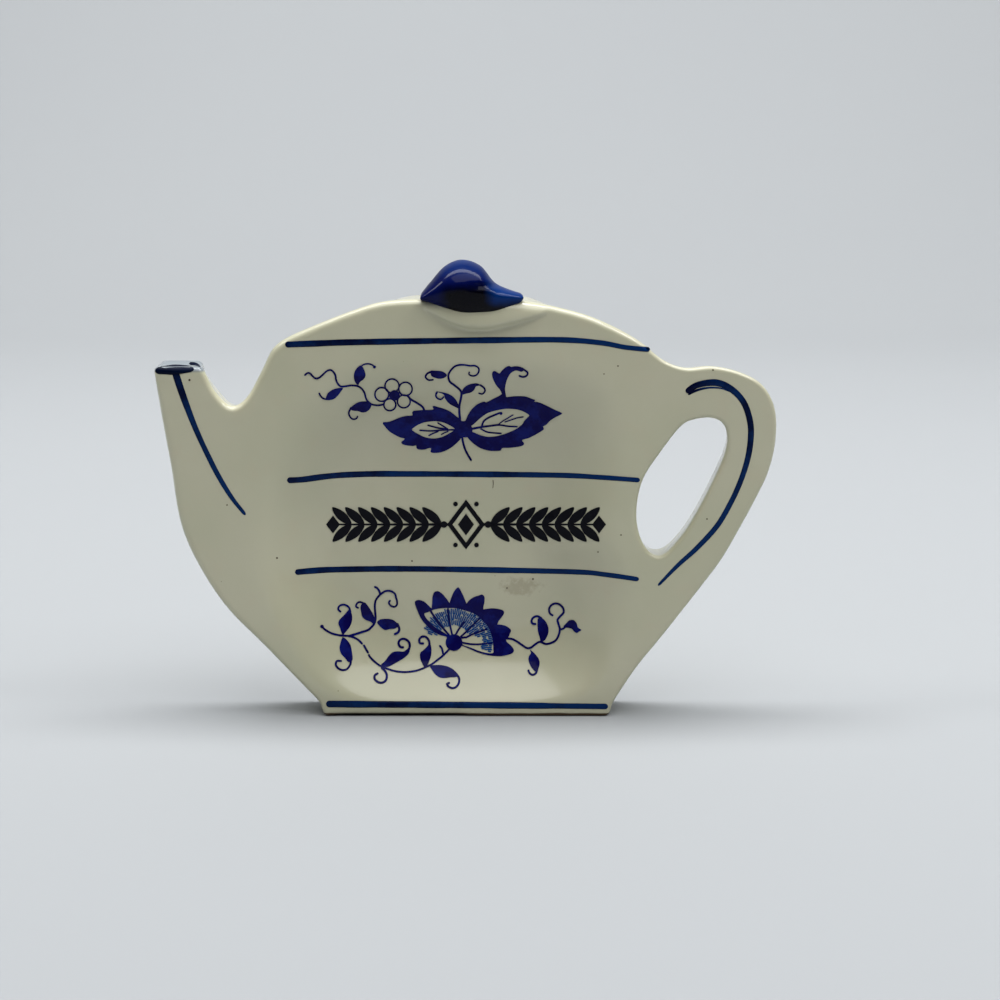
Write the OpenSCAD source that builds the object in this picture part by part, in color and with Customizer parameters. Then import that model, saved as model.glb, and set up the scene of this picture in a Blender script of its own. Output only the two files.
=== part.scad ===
// Tea bag rest: a shallow glazed dish in the outline of a teapot, standing on its flat base.
// X runs from the spout to the handle, Z is up, and the well opens towards -Y.
// Outline points are shares of half the overall width and of the overall height, picked along
// the edge in the order in which the rim is followed, and smoothed by a spline.

/* [Whole piece] */
// Width from the lip of the spout to the back of the handle
overall_w = 118; // [96:1:140]
// Height from the table to the top of the knob
overall_h = 88; // [74:1:104]
// Thickness of the slab from its front face to its back face
slab_t = 11.5; // [10:0.5:14]

/* [Rim and well] */
// Rounding of the front edge all round
front_round = 2.2; // [1.6:0.1:2.6]
// Rounding of the back edge all round
back_round = 1.5; // [1:0.1:2]
// How far the sides run in from the front to the back
back_draft = 1.2; // [0.4:0.1:1.6]
// Rounding of the two long edges under the foot
foot_round = 1; // [0.6:0.1:1.4]
// Depth of the well below the rim
well_depth = 7; // [4:0.5:8]

/* [Back] */
// Outer radius of the foot ring on the back
ring_r = 21; // [17:0.5:24]
// Width of the foot ring
ring_w = 3; // [2:0.25:5]
// Height of the foot ring
ring_h = 0.9; // [0.6:0.1:1.5]

/* [Knob] */
// Half the depth of the knob at its middle
knob_r = 7; // [6:0.1:7.4]
// How far the collar under the knob stands out from the lid
collar_t = 1.2; // [0.6:0.1:1.8]

/* [Painted lines] */
// Width of the four lines across the body
band_w = 1.3; // [0.9:0.1:1.6]
// Width of the strokes on the spout and the handle
stroke_w = 1.25; // [0.8:0.05:1.5]
// Thickness of the fired colour
colour_t = 0.2; // [0.15:0.05:0.3]
// Room between the glaze and the underside of the fired colour
colour_gap = 0.06; // [0.05:0.01:0.1]

/* [Hidden] */

ivory = [0.80, 0.80, 0.73];
collar_ivory = [0.78, 0.78, 0.70];
cobalt = [0.02, 0.06, 0.42];
navy = [0.05, 0.14, 0.42];
biscuit = [0.72, 0.65, 0.55];

half_w = overall_w / 2;
front_y = -slab_t / 2;
back_y = slab_t / 2;

// The middle of the well, from which its curves are drawn
centre_share = [-0.042, 0.386];
centre = at(centre_share);

// Reach of the well from its middle to its edge, every 15 degrees from the handle side upwards
edge_shares = [0.540, 0.562, 0.665, 0.750, 0.700, 0.634, 0.614, 0.627, 0.683, 0.716, 0.698,
               0.682, 0.670, 0.660, 0.618, 0.590, 0.556, 0.510, 0.496, 0.512, 0.566, 0.632,
               0.650, 0.630];

// Corners where the handle and the spout are luted to the body
handle_low_outer_share = [0.769, 0.297];
handle_low_inner_share = [0.631, 0.359];
handle_high_inner_share = [0.692, 0.647];
handle_high_outer_share = [0.705, 0.770];
spout_inner_share = [-0.751, 0.686];
spout_outer_share = [-0.927, 0.433];

// Rim of the body, followed counter-clockwise from the left end of the foot
foot_share = 0.469;
heel_share = 0.03;
flank_share = 0.48;
seat_share = 0.918;
right_flank_shares = [[flank_share, heel_share], [0.558, 0.110], [0.641, 0.182],
                      handle_low_outer_share];
hole_side_shares = [handle_low_inner_share, [0.576, 0.383], [0.551, 0.445], [0.568, 0.524],
                    [0.625, 0.589], handle_high_inner_share];
right_lid_shares = [handle_high_outer_share, [0.631, 0.787], [0.541, 0.834], [0.412, 0.877],
                    [0.292, 0.901], [0.166, seat_share]];
left_lid_shares = [[-0.132, seat_share], [-0.212, 0.917], [-0.307, 0.907], [-0.488, 0.861],
                   [-0.598, 0.822], [-0.654, 0.767], [-0.703, 0.708], spout_inner_share];
left_flank_shares = [spout_outer_share, [-0.873, 0.341], [-0.783, 0.244], [-0.653, 0.152],
                     [-flank_share, heel_share]];

// The two edges of the handle and of the spout, from the body outwards
handle_inner_shares = [handle_high_inner_share, [0.736, 0.660], [0.785, 0.664],
                       [0.824, 0.652], [0.839, 0.624], [0.834, 0.590], [0.814, 0.552],
                       [0.780, 0.502], [0.739, 0.449], [0.693, 0.400],
                       handle_low_inner_share];
handle_outer_shares = [handle_high_outer_share, [0.780, 0.775], [0.869, 0.765],
                       [0.946, 0.736], [0.990, 0.684], [0.995, 0.614], [0.974, 0.547],
                       [0.937, 0.490], [0.887, 0.420], [0.831, 0.355],
                       handle_low_outer_share];
spout_outer_shares = [spout_outer_share, [-0.953, 0.551], [-0.978, 0.670], [-0.999, 0.763]];
spout_inner_shares = [spout_inner_share, [-0.785, 0.702], [-0.818, 0.734], [-0.842, 0.763]];

// Knob, from its left end to the tip of the petal on the right
dome_shares = [[-0.142, 0.926], [-0.117, 0.950], [-0.070, 0.986], [-0.015, 1.000],
               [0.044, 0.988], [0.088, 0.953], [0.128, 0.940], [0.182, 0.930]];
droop_shares = [0.002, 0.004, 0.016, 0.027, 0.027, 0.024, 0.016, 0.003];
collar_top_shares = [[-0.112, 0.905], [-0.063, 0.895], [0.012, 0.884], [0.090, 0.887],
                     [0.166, 0.897], [0.240, 0.893]];
collar_low_shares = [[-0.115, 0.897], [-0.053, 0.865], [0.042, 0.856], [0.139, 0.867],
                     [0.195, 0.878], [0.247, 0.889]];

// Depth of the knob along its length, and how it and the collar are rounded
knob_r_shares = [0.32, 0.68, 0.92, 1, 0.96, 0.78, 0.56, 0.3];
knob_middle_shares = [0.78, 0.52, 0.32, 0.26, 0.3, 0.46, 0.62, 0.8];
knob_steps = 21;
under_turn = 30;
knob_turn = 12;
collar_steps = 4;
collar_end_share = 0.2;
collar_profile_shares = [[0, 0], [1, 0], [1, 0.75], [0.72, 1], [0.36, 0.85], [0.1, 0.4]];

// Rounding of the lip of the spout, and how blunt a painted line starts
lip_round_share = 0.8;
lip_steps = 4;
blunt_share = 0.5;

// Steps along the straight runs, along each span of a curve and round the foot ring
rim_steps = 3;
spout_steps = 4;
foot_steps = 10;
heel_steps = 2;
seat_steps = 4;
spout_joint_steps = 6;
ring_steps = 96;

// How far a cutting body runs out beyond what it cuts
overrun = 1;

// Centre lines of the painted lines, from the thick end to the thin end
top_band_shares = [[-0.576, 0.824], [-0.371, 0.831], [0.298, 0.835], [0.425, 0.830],
                   [0.545, 0.817]];
upper_belt_shares = [[-0.583, 0.524], [-0.427, 0.533], [0.305, 0.527], [0.536, 0.527]];
lower_belt_shares = [[-0.563, 0.316], [-0.446, 0.317], [0.356, 0.309], [0.560, 0.309]];
base_band_shares = [[-0.463, 0.029], [0.463, 0.025]];
lip_shares = [[-0.978, 0.755], [-0.861, 0.755]];
spout_stroke_shares = [[-0.922, 0.742], [-0.903, 0.705], [-0.866, 0.635], [-0.831, 0.581],
                       [-0.795, 0.535], [-0.758, 0.491], [-0.714, 0.451]];
handle_stroke_shares = [[0.698, 0.718], [0.739, 0.735], [0.800, 0.741], [0.849, 0.725],
                        [0.890, 0.697], [0.914, 0.656], [0.914, 0.616], [0.905, 0.573],
                        [0.883, 0.526], [0.851, 0.478], [0.808, 0.427], [0.749, 0.378],
                        [0.688, 0.341], [0.631, 0.300]];

// For each line: the share of its length from which it thins, and how thin it ends
top_band_thin_shares = [0.8, 0.3];
upper_belt_thin_shares = [0.85, 0.5];
lower_belt_thin_shares = [0.85, 0.4];
base_band_thin_shares = [0.95, 0.7];
lip_thin_shares = [0.9, 0.7];
spout_stroke_thin_shares = [0.1, 0.3];
handle_stroke_thin_shares = [0.6, 0.25];

// Steps along the painted lines: more of them where a line crosses the wall of the well
lip_band_steps = 8;
short_line_steps = 24;
long_line_steps = 32;
handle_stroke_steps = 48;
belt_steps = 64;

// Curves

function at(p) = [p[0] * half_w, p[1] * overall_h];
function mix(a, b, t) = a + (b - a) * t;
function unit(v) = v / norm(v);
function turn_left(v) = [-v[1], v[0]];
function cross2(a, b) = a[0] * b[1] - a[1] * b[0];

function bend(a, b, c, d, t) =
    (2 * b + (c - a) * t + (2 * a - 5 * b + 4 * c - d) * t * t
     + (3 * b - a - 3 * c + d) * t * t * t) / 2;

// The place on a spline through points or numbers, from 0 at the first to 1 at the last
function spline_at(p, t) =
    let (spans = len(p) - 1,
         i = min(floor(t * spans), spans - 1))
    bend(p[max(i - 1, 0)], p[i], p[i + 1], p[min(i + 2, spans)], t * spans - i);

// A spline through shares, with a number of steps to each span, at its place on the piece
function placed(shares, steps) =
    let (all_steps = (len(shares) - 1) * steps)
    [for (i = [0:all_steps]) at(spline_at(shares, i / all_steps))];
function straight(a, b, steps) = [for (i = [0:steps]) mix(a, b, i / steps)];
function but_last(p) = [for (i = [0:len(p) - 2]) p[i]];
function reversed(p) = [for (i = [len(p) - 1:-1:0]) p[i]];
function joined(a, b, steps) = straight(at(a), at(b), steps);
function end_of(p) = p[len(p) - 1];

// Rim columns: each has a place, the way the rounding runs in from it, and its two radii

foot_left_share = [-foot_share, 0];
foot_right_share = [foot_share, 0];

run_foot = joined(foot_left_share, foot_right_share, foot_steps);
run_heel_right = joined(foot_right_share, right_flank_shares[0], heel_steps);
run_right_flank = placed(right_flank_shares, rim_steps);
run_lower_joint = joined(handle_low_outer_share, handle_low_inner_share, rim_steps);
run_hole_side = placed(hole_side_shares, rim_steps);
run_upper_joint = joined(handle_high_inner_share, handle_high_outer_share, rim_steps);
run_right_lid = placed(right_lid_shares, rim_steps);
run_seat = joined(end_of(right_lid_shares), left_lid_shares[0], seat_steps);
run_left_lid = placed(left_lid_shares, rim_steps);
run_spout_joint = joined(spout_inner_share, spout_outer_share, spout_joint_steps);
run_left_flank = placed(left_flank_shares, rim_steps);
run_heel_left = joined(end_of(left_flank_shares), foot_left_share, heel_steps);

// Runs in order, each with its kind: 0 rounded rim, 1 luting face, 2 seat of the knob
runs = [
    [run_foot, 0], [run_heel_right, 0], [run_right_flank, 0], [run_lower_joint, 1],
    [run_hole_side, 0], [run_upper_joint, 1], [run_right_lid, 0], [run_seat, 2],
    [run_left_lid, 0], [run_spout_joint, 1], [run_left_flank, 0], [run_heel_left, 0]
];

rim = [for (r = runs) for (p = but_last(r[0])) p];
kinds = [for (r = runs) for (i = [0:len(r[0]) - 2]) r[1]];
firsts = [for (r = runs) for (i = [0:len(r[0]) - 2]) i == 0];
count = len(rim);

function before(k) = (k + count - 1) % count;
function after(k) = (k + 1) % count;

// A column is inside a joint when it isn't the first of a run of the kinds asked for
function starts_joint(k) = firsts[k] && kinds[k] == 1;
function ends_joint(k) = firsts[k] && kinds[before(k)] == 1;
function inside_joint(k, which) = !firsts[k] && len(search(kinds[k], which)) > 0;

function along(k) = unit(unit(rim[after(k)] - rim[k]) + unit(rim[k] - rim[before(k)]));
function inward(k) =
    starts_joint(k) ? unit(rim[after(k)] - rim[k]) :
    ends_joint(k) ? unit(rim[before(k)] - rim[k]) :
    turn_left(along(k));

// The foot keeps a small rounding, which grows to the full one up the flanks
grow_share = 0.16;
function grown(k) =
    min(1, max(0, (rim[k][1] / overall_h - heel_share) / (grow_share - heel_share)));
function front_r(k) = mix(foot_round, front_round, grown(k));
function back_r(k) = mix(foot_round, back_round, grown(k));

// The sides run in towards the back, but not under the foot and under the knob
function draft(k) = kinds[k] == 2 || kinds[before(k)] == 2 ? 0 : back_draft * grown(k);

// Steps of a rounding from the edge to the face: share of the drop, then share of the inset
arc_steps = 4;
arc_shares = [for (i = [0:arc_steps]) [1 - sin(90 * i / arc_steps), 1 - cos(90 * i / arc_steps)]];

// Well: both its edge and its floor lie on the rays through the rim columns. The rays are
// taken in a plane where height counts as it does on a piece of the usual proportions.
tall_share = 1.4915;
function turn_of(k) =
    atan2((rim[k][1] - centre[1]) / overall_h * tall_share, (rim[k][0] - centre[0]) / half_w);
function ray_point(turn, reach) =
    centre + reach * [cos(turn) * half_w, sin(turn) * overall_h / tall_share];

// A spline round a ring of numbers
function ring_at(list, turn) =
    let (n = len(list),
         u = (turn + 360) % 360 / 360 * n,
         i = floor(u))
    bend(list[(i + n - 1) % n], list[i % n], list[(i + 1) % n], list[(i + 2) % n], u - i);

// Floor: a rounded oval, wider to the spout side and longer to the foot side
floor_power = 2.5;
floor_left_share = 0.38;
floor_right_share = 0.35;
floor_up_share = 0.22;
floor_down_share = 0.29;
function floor_reach(turn) =
    pow(pow(abs(cos(turn)) / (cos(turn) < 0 ? floor_left_share : floor_right_share),
            floor_power)
        + pow(abs(sin(turn)) / (sin(turn) > 0 ? floor_up_share : floor_down_share),
              floor_power),
        -1 / floor_power);

edge = [for (k = [0:count - 1]) ray_point(turn_of(k), ring_at(edge_shares, turn_of(k)))];
floor_line = [for (k = [0:count - 1]) ray_point(turn_of(k), floor_reach(turn_of(k)))];

wall_steps = 8;
function sink(s) = well_depth * s * s * (3 - 2 * s);

// How deep the well is at a place on the front, read off the same facets as the solid
function crossing(a, b, d) = cross2(a - centre, b - a) / cross2(d, b - a);
function wedge(p) = [
    for (k = [0:count - 1])
        if (cross2(rim[k] - centre, p - centre) >= 0
            && cross2(rim[after(k)] - centre, p - centre) < 0
            && (rim[k] - centre) * (p - centre) > 0) k
][0];
function steps_down(u) =
    mix(sink(floor(u) / wall_steps), sink(ceil(u) / wall_steps), u - floor(u));
function well_at(p) =
    let (k = wedge(p),
         d = unit(p - centre),
         outer = crossing(edge[k], edge[after(k)], d),
         inner = crossing(floor_line[k], floor_line[after(k)], d),
         s = (outer - norm(p - centre)) / (outer - inner))
    steps_down(min(1, max(0, s)) * wall_steps);

function lift(p, y) = [p[0], y, p[1]];

// A closed skin from rings of equal length, each end closed by a fan from its own point
module skin(rings, first, last) {
    n = len(rings[0]);
    m = len(rings);
    points = concat([for (r = rings) for (p = r) p], [first, last]);
    walls = [
        for (j = [0:m - 2])
            for (k = [0:n - 1])
                let (a = j * n + k, b = j * n + (k + 1) % n)
                for (f = [[a, b + n, b], [a, a + n, b + n]]) f
    ];
    starts = [for (k = [0:n - 1]) [m * n, k, (k + 1) % n]];
    ends = [for (k = [0:n - 1]) [m * n + 1, (m - 1) * n + (k + 1) % n, (m - 1) * n + k]];
    polyhedron(points, concat(walls, starts, ends));
}

// A closed skin through like sections, with the first and the last one as flat ends
module sections(list) {
    n = len(list[0]);
    m = len(list);
    points = [for (s = list) for (p = s) p];
    walls = [
        for (j = [0:m - 2])
            for (k = [0:n - 1])
                let (a = j * n + k, b = j * n + (k + 1) % n)
                for (f = [[a, b + n, b], [a, a + n, b + n]]) f
    ];
    start = [for (k = [0:n - 1]) k];
    end = [for (k = [n - 1:-1:0]) (m - 1) * n + k];
    polyhedron(points, concat([start], walls, [end]));
}

// The section of the slab from place a to place b, with all four corners rounded
function slab_section(a, b, inset) =
    let (e = unit(b - a),
         fr = front_round - inset,
         br = back_round - inset,
         y0 = front_y + inset,
         y1 = back_y - inset,
         p = a + e * inset,
         q = b - e * inset)
    concat(
        [for (s = arc_shares) lift(p + e * (back_draft + br * s[1]), y1 - br * s[0])],
        [for (s = reversed(arc_shares)) lift(q - e * (back_draft + br * s[1]), y1 - br * s[0])],
        [for (s = arc_shares) lift(q - e * fr * s[1], y0 + fr * s[0])],
        [for (s = reversed(arc_shares)) lift(p + e * fr * s[1], y0 + fr * s[0])]
    );

// Pieces

// Body: back face, rounded back edge, rounded front edge, flat rim, wall of the well, floor
module dish() {
    back_in = [for (k = [0:count - 1]) inside_joint(k, [1]) ? [0, 0] : inward(k)];
    front_in = [for (k = [0:count - 1]) inside_joint(k, [1, 2]) ? [0, 0] : inward(k)];
    back_edge = [
        for (s = reversed(arc_shares))
            [for (k = [0:count - 1])
                lift(rim[k] + back_in[k] * (draft(k) + back_r(k) * s[1]),
                     back_y - back_r(k) * s[0])]
    ];
    front_edge = [
        for (s = arc_shares)
            [for (k = [0:count - 1])
                lift(rim[k] + front_in[k] * front_r(k) * s[1], front_y + front_r(k) * s[0])]
    ];
    well = [
        for (j = [0:wall_steps])
            [for (k = [0:count - 1])
                lift(mix(edge[k], floor_line[k], j / wall_steps),
                     front_y + sink(j / wall_steps))]
    ];
    color(ivory)
        skin(concat(back_edge, front_edge, well), lift(centre, back_y),
             lift(centre, front_y + well_depth));
}

// Spout: flat in front, narrowing from the body to a rounded lip
module spout() {
    inner = placed(spout_inner_shares, spout_steps);
    outer = placed(spout_outer_shares, spout_steps);
    lip_r = lip_round_share * back_round;
    last = len(inner) - 1;
    lip = [
        for (i = [1:lip_steps])
            let (turn = 90 * i / lip_steps, up = [0, lip_r * sin(turn)])
            slab_section(inner[last] + up, outer[last] + up, lip_r * (1 - cos(turn)))
    ];
    color(ivory)
        sections(concat([for (i = [0:last]) slab_section(inner[i], outer[i], 0)], lip));
}

// Handle: a loop of the same section as the rim, luted to the body at both ends
module handle() {
    inner = placed(handle_inner_shares, rim_steps);
    outer = placed(handle_outer_shares, rim_steps);
    color(ivory)
        sections([for (i = [0:len(inner) - 1]) slab_section(inner[i], outer[i], 0)]);
}

// Knob: a bud with a petal drawn out to the right. It stands on the flat seat of the lid, and
// its belly hangs a little way down in front of the lid.
module knob() {
    high = 1 + sin(under_turn);
    color(cobalt)
        sections([
            for (i = [0:knob_steps])
                let (t = i / knob_steps,
                     crown = at(spline_at(dome_shares, t)),
                     seat = [crown[0], seat_share * overall_h],
                     low = seat - [0, spline_at(droop_shares, t) * overall_h],
                     r = knob_r * spline_at(knob_r_shares, t),
                     y = front_y * spline_at(knob_middle_shares, t))
                concat(
                    [for (turn = [-under_turn:knob_turn:90])
                        lift(mix(seat, crown, (sin(turn) + sin(under_turn)) / high),
                             y + r * cos(turn))],
                    [for (turn = [90 + knob_turn / 2:knob_turn:180 + under_turn])
                        lift(mix(low, crown, (sin(turn) + sin(under_turn)) / high),
                             y + r * cos(turn))],
                    [lift(low, front_y - colour_gap), lift(seat, front_y - colour_gap)]
                )
        ]);
}

// Collar: a swelling of the lid that runs out under the petal
module knob_collar() {
    top = placed(collar_top_shares, collar_steps);
    low = placed(collar_low_shares, collar_steps);
    last = len(top) - 1;
    color(collar_ivory)
        sections([
            for (i = [0:last])
                let (t = collar_t * mix(collar_end_share, 1, sin(180 * i / last)))
                [for (s = collar_profile_shares)
                    lift(mix(low[i], top[i], s[0]), front_y - t * s[1])]
        ]);
}

// Foot ring: the ground ring that the dish lies on when it is laid down
module foot_ring() {
    color(biscuit)
        translate([centre[0], back_y, centre[1]])
            rotate([-90, 0, 0])
                difference() {
                    cylinder(h = ring_h, r = ring_r, $fn = ring_steps);
                    translate([0, 0, -overrun])
                        cylinder(h = ring_h + 2 * overrun, r = ring_r - ring_w,
                                 $fn = ring_steps);
                }
}

// A line of fired colour that follows the glaze, blunt at its start and drawn thin at its end
module painted_line(shares, width, steps, thin_shares) {
    middle = [for (i = [0:steps]) at(spline_at(shares, i / steps))];
    sections([
        for (i = [0:steps])
            let (t = i / steps,
                 way = unit(middle[min(i + 1, steps)] - middle[max(i - 1, 0)]),
                 thin = max(0, t - thin_shares[0]) / (1 - thin_shares[0]),
                 half = width / 2 * (i == 0 ? blunt_share : 1) * mix(1, thin_shares[1], thin),
                 right = middle[i] - turn_left(way) * half,
                 left = middle[i] + turn_left(way) * half,
                 under_right = front_y + well_at(right) - colour_gap,
                 under_left = front_y + well_at(left) - colour_gap)
            [lift(right, under_right), lift(left, under_left),
             lift(left, under_left - colour_t), lift(right, under_right - colour_t)]
    ]);
}

module top_band() {
    color(navy)
        painted_line(top_band_shares, band_w, long_line_steps, top_band_thin_shares);
}

module upper_belt_band() {
    color(navy)
        painted_line(upper_belt_shares, band_w, belt_steps, upper_belt_thin_shares);
}

module lower_belt_band() {
    color(navy)
        painted_line(lower_belt_shares, band_w, belt_steps, lower_belt_thin_shares);
}

module base_band() {
    color(navy)
        painted_line(base_band_shares, band_w, short_line_steps, base_band_thin_shares);
}

module spout_lip_band() {
    color(navy)
        painted_line(lip_shares, band_w, lip_band_steps, lip_thin_shares);
}

module spout_stroke() {
    color(navy)
        painted_line(spout_stroke_shares, stroke_w, short_line_steps, spout_stroke_thin_shares);
}

module handle_stroke() {
    color(navy)
        painted_line(handle_stroke_shares, stroke_w, handle_stroke_steps, handle_stroke_thin_shares);
}

dish();
spout();
handle();
knob();
knob_collar();
foot_ring();
top_band();
upper_belt_band();
lower_belt_band();
base_band();
spout_lip_band();
spout_stroke();
handle_stroke();
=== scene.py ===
import math

import bpy
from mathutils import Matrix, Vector
from mathutils.geometry import delaunay_2d_cdt
from mathutils.kdtree import KDTree


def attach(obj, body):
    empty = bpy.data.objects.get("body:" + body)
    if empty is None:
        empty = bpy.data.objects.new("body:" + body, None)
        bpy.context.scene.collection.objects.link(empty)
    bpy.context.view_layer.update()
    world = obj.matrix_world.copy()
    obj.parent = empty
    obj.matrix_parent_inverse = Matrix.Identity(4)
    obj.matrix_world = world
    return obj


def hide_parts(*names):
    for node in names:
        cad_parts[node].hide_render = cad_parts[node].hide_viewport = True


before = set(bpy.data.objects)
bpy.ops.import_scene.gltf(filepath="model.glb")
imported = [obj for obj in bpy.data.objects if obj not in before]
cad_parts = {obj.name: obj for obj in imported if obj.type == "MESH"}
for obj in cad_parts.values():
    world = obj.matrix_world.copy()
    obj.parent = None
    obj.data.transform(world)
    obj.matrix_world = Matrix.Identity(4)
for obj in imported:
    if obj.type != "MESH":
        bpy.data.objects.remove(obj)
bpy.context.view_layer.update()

scene = bpy.context.scene
scene.view_settings.view_transform = "Standard"

# Camera.
# A portrait lens stands in front of the rest and looks a little down on it. All lengths in
# this file are millimetres until a mesh is made. Picture points are pixels of the frame.
MM = 0.001
PICTURE_SIDE = 1000
LENS_AXIS_PX = (466.5, 487.775)
SENSOR = 36.0
LENS = 80.24
AIM_HEIGHT = 44.0
DISTANCE = 430.0
LOOK_DOWN = math.radians(10)
NEAR_LIMIT = 10.0


def linked(name, data):
    """A new object of this data, put in the scene."""
    made = bpy.data.objects.new(name, data)
    scene.collection.objects.link(made)
    return made


eye = Vector((0, -DISTANCE * math.cos(LOOK_DOWN), AIM_HEIGHT + DISTANCE * math.sin(LOOK_DOWN)))
camera_data = bpy.data.cameras.new("camera")
camera_data.sensor_width = SENSOR
camera_data.lens = LENS
camera_data.shift_x = 0.5 - LENS_AXIS_PX[0] / PICTURE_SIDE
camera_data.shift_y = LENS_AXIS_PX[1] / PICTURE_SIDE - 0.5
camera_data.clip_start = NEAR_LIMIT * MM
camera = linked("camera", camera_data)
camera.location = eye * MM
camera.rotation_euler = (math.pi / 2 - LOOK_DOWN, 0, 0)
scene.camera = camera


def sight_line(pixel):
    """The direction in which the eye sees a picture point, one unit long along +Y."""
    focal_px = LENS / SENSOR * PICTURE_SIDE
    right = (pixel[0] - LENS_AXIS_PX[0]) / focal_px
    up = (LENS_AXIS_PX[1] - pixel[1]) / focal_px
    forward = math.cos(LOOK_DOWN) + up * math.sin(LOOK_DOWN)
    rise = up * math.cos(LOOK_DOWN) - math.sin(LOOK_DOWN)
    return Vector((right / forward, 1, rise / forward))


# Table and backdrop.
# One sheet of matt white card lies flat under the rest and sweeps up behind it. The shader
# helpers are made here, because this is the first finish.
class Value:
    """A node's socket. A sum, difference, product or quotient of it adds its Math node."""

    def __init__(self, nodes, socket):
        self.nodes = nodes
        self.socket = socket

    def math(self, operation, first, second):
        return self.nodes.node("ShaderNodeMath", {"operation": operation}, {0: first, 1: second})

    def __add__(self, other):
        return self.math("ADD", self, other)

    def __radd__(self, other):
        return self.math("ADD", other, self)

    def __sub__(self, other):
        return self.math("SUBTRACT", self, other)

    def __rsub__(self, other):
        return self.math("SUBTRACT", other, self)

    def __mul__(self, other):
        return self.math("MULTIPLY", self, other)

    def __rmul__(self, other):
        return self.math("MULTIPLY", other, self)

    def __truediv__(self, other):
        return self.math("DIVIDE", self, other)


class Nodes:
    """A node tree, filled by one method that makes a node, sets it and fills its sockets."""

    def __init__(self, tree):
        self.tree = tree
        tree.nodes.clear()

    def node(self, kind, settings=None, sockets=None, out=0):
        """A new node's output. A socket is given a number, a colour, a thing or a Value."""
        made = self.tree.nodes.new(kind)
        for name, value in (settings or {}).items():
            setattr(made, name, value)
        for key, value in (sockets or {}).items():
            if isinstance(value, Value):
                self.tree.links.new(value.socket, made.inputs[key])
            else:
                made.inputs[key].default_value = value
        return Value(self, made.outputs[out]) if made.outputs else None

    def mix(self, share, first, second):
        """The first colour with a share of the second in it."""
        sockets = {0: share, 6: first, 7: second}
        return self.node("ShaderNodeMix", {"data_type": "RGBA"}, sockets, 2)

    def step(self, value, low, high):
        """0 below low, 1 above high and a smooth rise between them."""
        sockets = {0: value, 1: low, 2: high}
        return self.node("ShaderNodeMapRange", {"interpolation_type": "SMOOTHSTEP"}, sockets)

    def noise(self, place, size, detail=2.0, roughness=0.5):
        """Soft clouds about as large as size, in millimetres."""
        sockets = {"Vector": place, "Scale": 1 / (size * MM), "Detail": detail,
                   "Roughness": roughness}
        return self.node("ShaderNodeTexNoise", {"noise_dimensions": "3D"}, sockets)

    def place(self):
        """The place on the piece, in its Object coordinates."""
        return self.node("ShaderNodeTexCoord", out=3)

    def axis(self, vector, number):
        """One number of a vector: 0 for X, 1 for Y and 2 for Z."""
        return self.node("ShaderNodeSeparateXYZ", {}, {0: vector}, number)

    def bump(self, height, strength, distance):
        """A bumpy surface, whose bumps are about distance millimetres high."""
        sockets = {"Height": height, "Strength": strength, "Distance": distance * MM}
        return self.node("ShaderNodeBump", {}, sockets)


def paint(red, green, blue):
    """A colour as it looks on the screen, from 0 to 255, as the shader's own numbers."""
    def linear(channel):
        c = channel / 255
        return c / 12.92 if c <= 0.04045 else ((c + 0.055) / 1.055) ** 2.4
    return (linear(red), linear(green), linear(blue), 1.0)


def finish_tree(name):
    """A new material and its empty tree."""
    material = bpy.data.materials.new(name)
    material.use_nodes = True
    return material, Nodes(material.node_tree)


def close_finish(nodes, settings):
    """Ends a material's tree in one Principled shader with these socket values."""
    shader = nodes.node("ShaderNodeBsdfPrincipled", {}, settings)
    nodes.node("ShaderNodeOutputMaterial", {}, {0: shader})


def clouded_finish(name, first, second, cloud, settings):
    """A material that drifts between two colours in soft clouds."""
    material, nodes = finish_tree(name)
    tone = nodes.mix(nodes.noise(nodes.place(), cloud), first, second)
    close_finish(nodes, {**settings, "Base Color": tone})
    return material


def mesh_of(name, places, faces):
    """A mesh from places in millimetres."""
    mesh = bpy.data.meshes.new(name)
    mesh.from_pydata([Vector(p) * MM for p in places], [], faces)
    mesh.update()
    return mesh


def make_piece(name, places, faces, material):
    """A smooth piece of one material."""
    mesh = mesh_of(name, places, faces)
    mesh.materials.append(material)
    mesh.shade_smooth()
    return linked(name, mesh)


CARD_COLOUR = paint(164, 167, 169)
CARD_SHADE = paint(160, 163, 166)
CARD_CLOUD = 400
CARD_FRONT = -1500
CARD_BEND = 650
CARD_RADIUS = 500
CARD_TOP = 1900
CARD_HALF_WIDTH = 1800
CARD_STEPS = 24

card = clouded_finish("matt_card", CARD_COLOUR, CARD_SHADE, CARD_CLOUD, {"Roughness": 0.9})
card_profile = [(CARD_FRONT, 0)]
for step in range(CARD_STEPS + 1):
    turn = math.pi / 2 * step / CARD_STEPS
    card_profile.append((CARD_BEND + CARD_RADIUS * math.sin(turn),
                         CARD_RADIUS * (1 - math.cos(turn))))
card_profile.append((CARD_BEND + CARD_RADIUS, CARD_TOP))
card_places = []
for y, z in card_profile:
    card_places += [(-CARD_HALF_WIDTH, y, z), (CARD_HALF_WIDTH, y, z)]
card_faces = [(2 * i, 2 * i + 1, 2 * i + 3, 2 * i + 2) for i in range(len(card_profile) - 1)]
make_piece("backdrop", card_places, card_faces, card)


# Light.
# A wide soft lamp hangs over the table, a small one on each side brightens the rims, one
# lights the backdrop, and a dim sky fills the shadows, darker behind the camera as in a room.
def hang_lamp(name, place, target, size, power):
    """A soft rectangular lamp that is turned to its target."""
    data = bpy.data.lights.new(name, "AREA")
    data.shape = "RECTANGLE"
    data.size = size[0] * MM
    data.size_y = size[1] * MM
    data.energy = power
    lamp = linked(name, data)
    lamp.location = Vector(place) * MM
    lamp.rotation_euler = (Vector(target) - Vector(place)).to_track_quat("-Z", "Y").to_euler()


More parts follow.
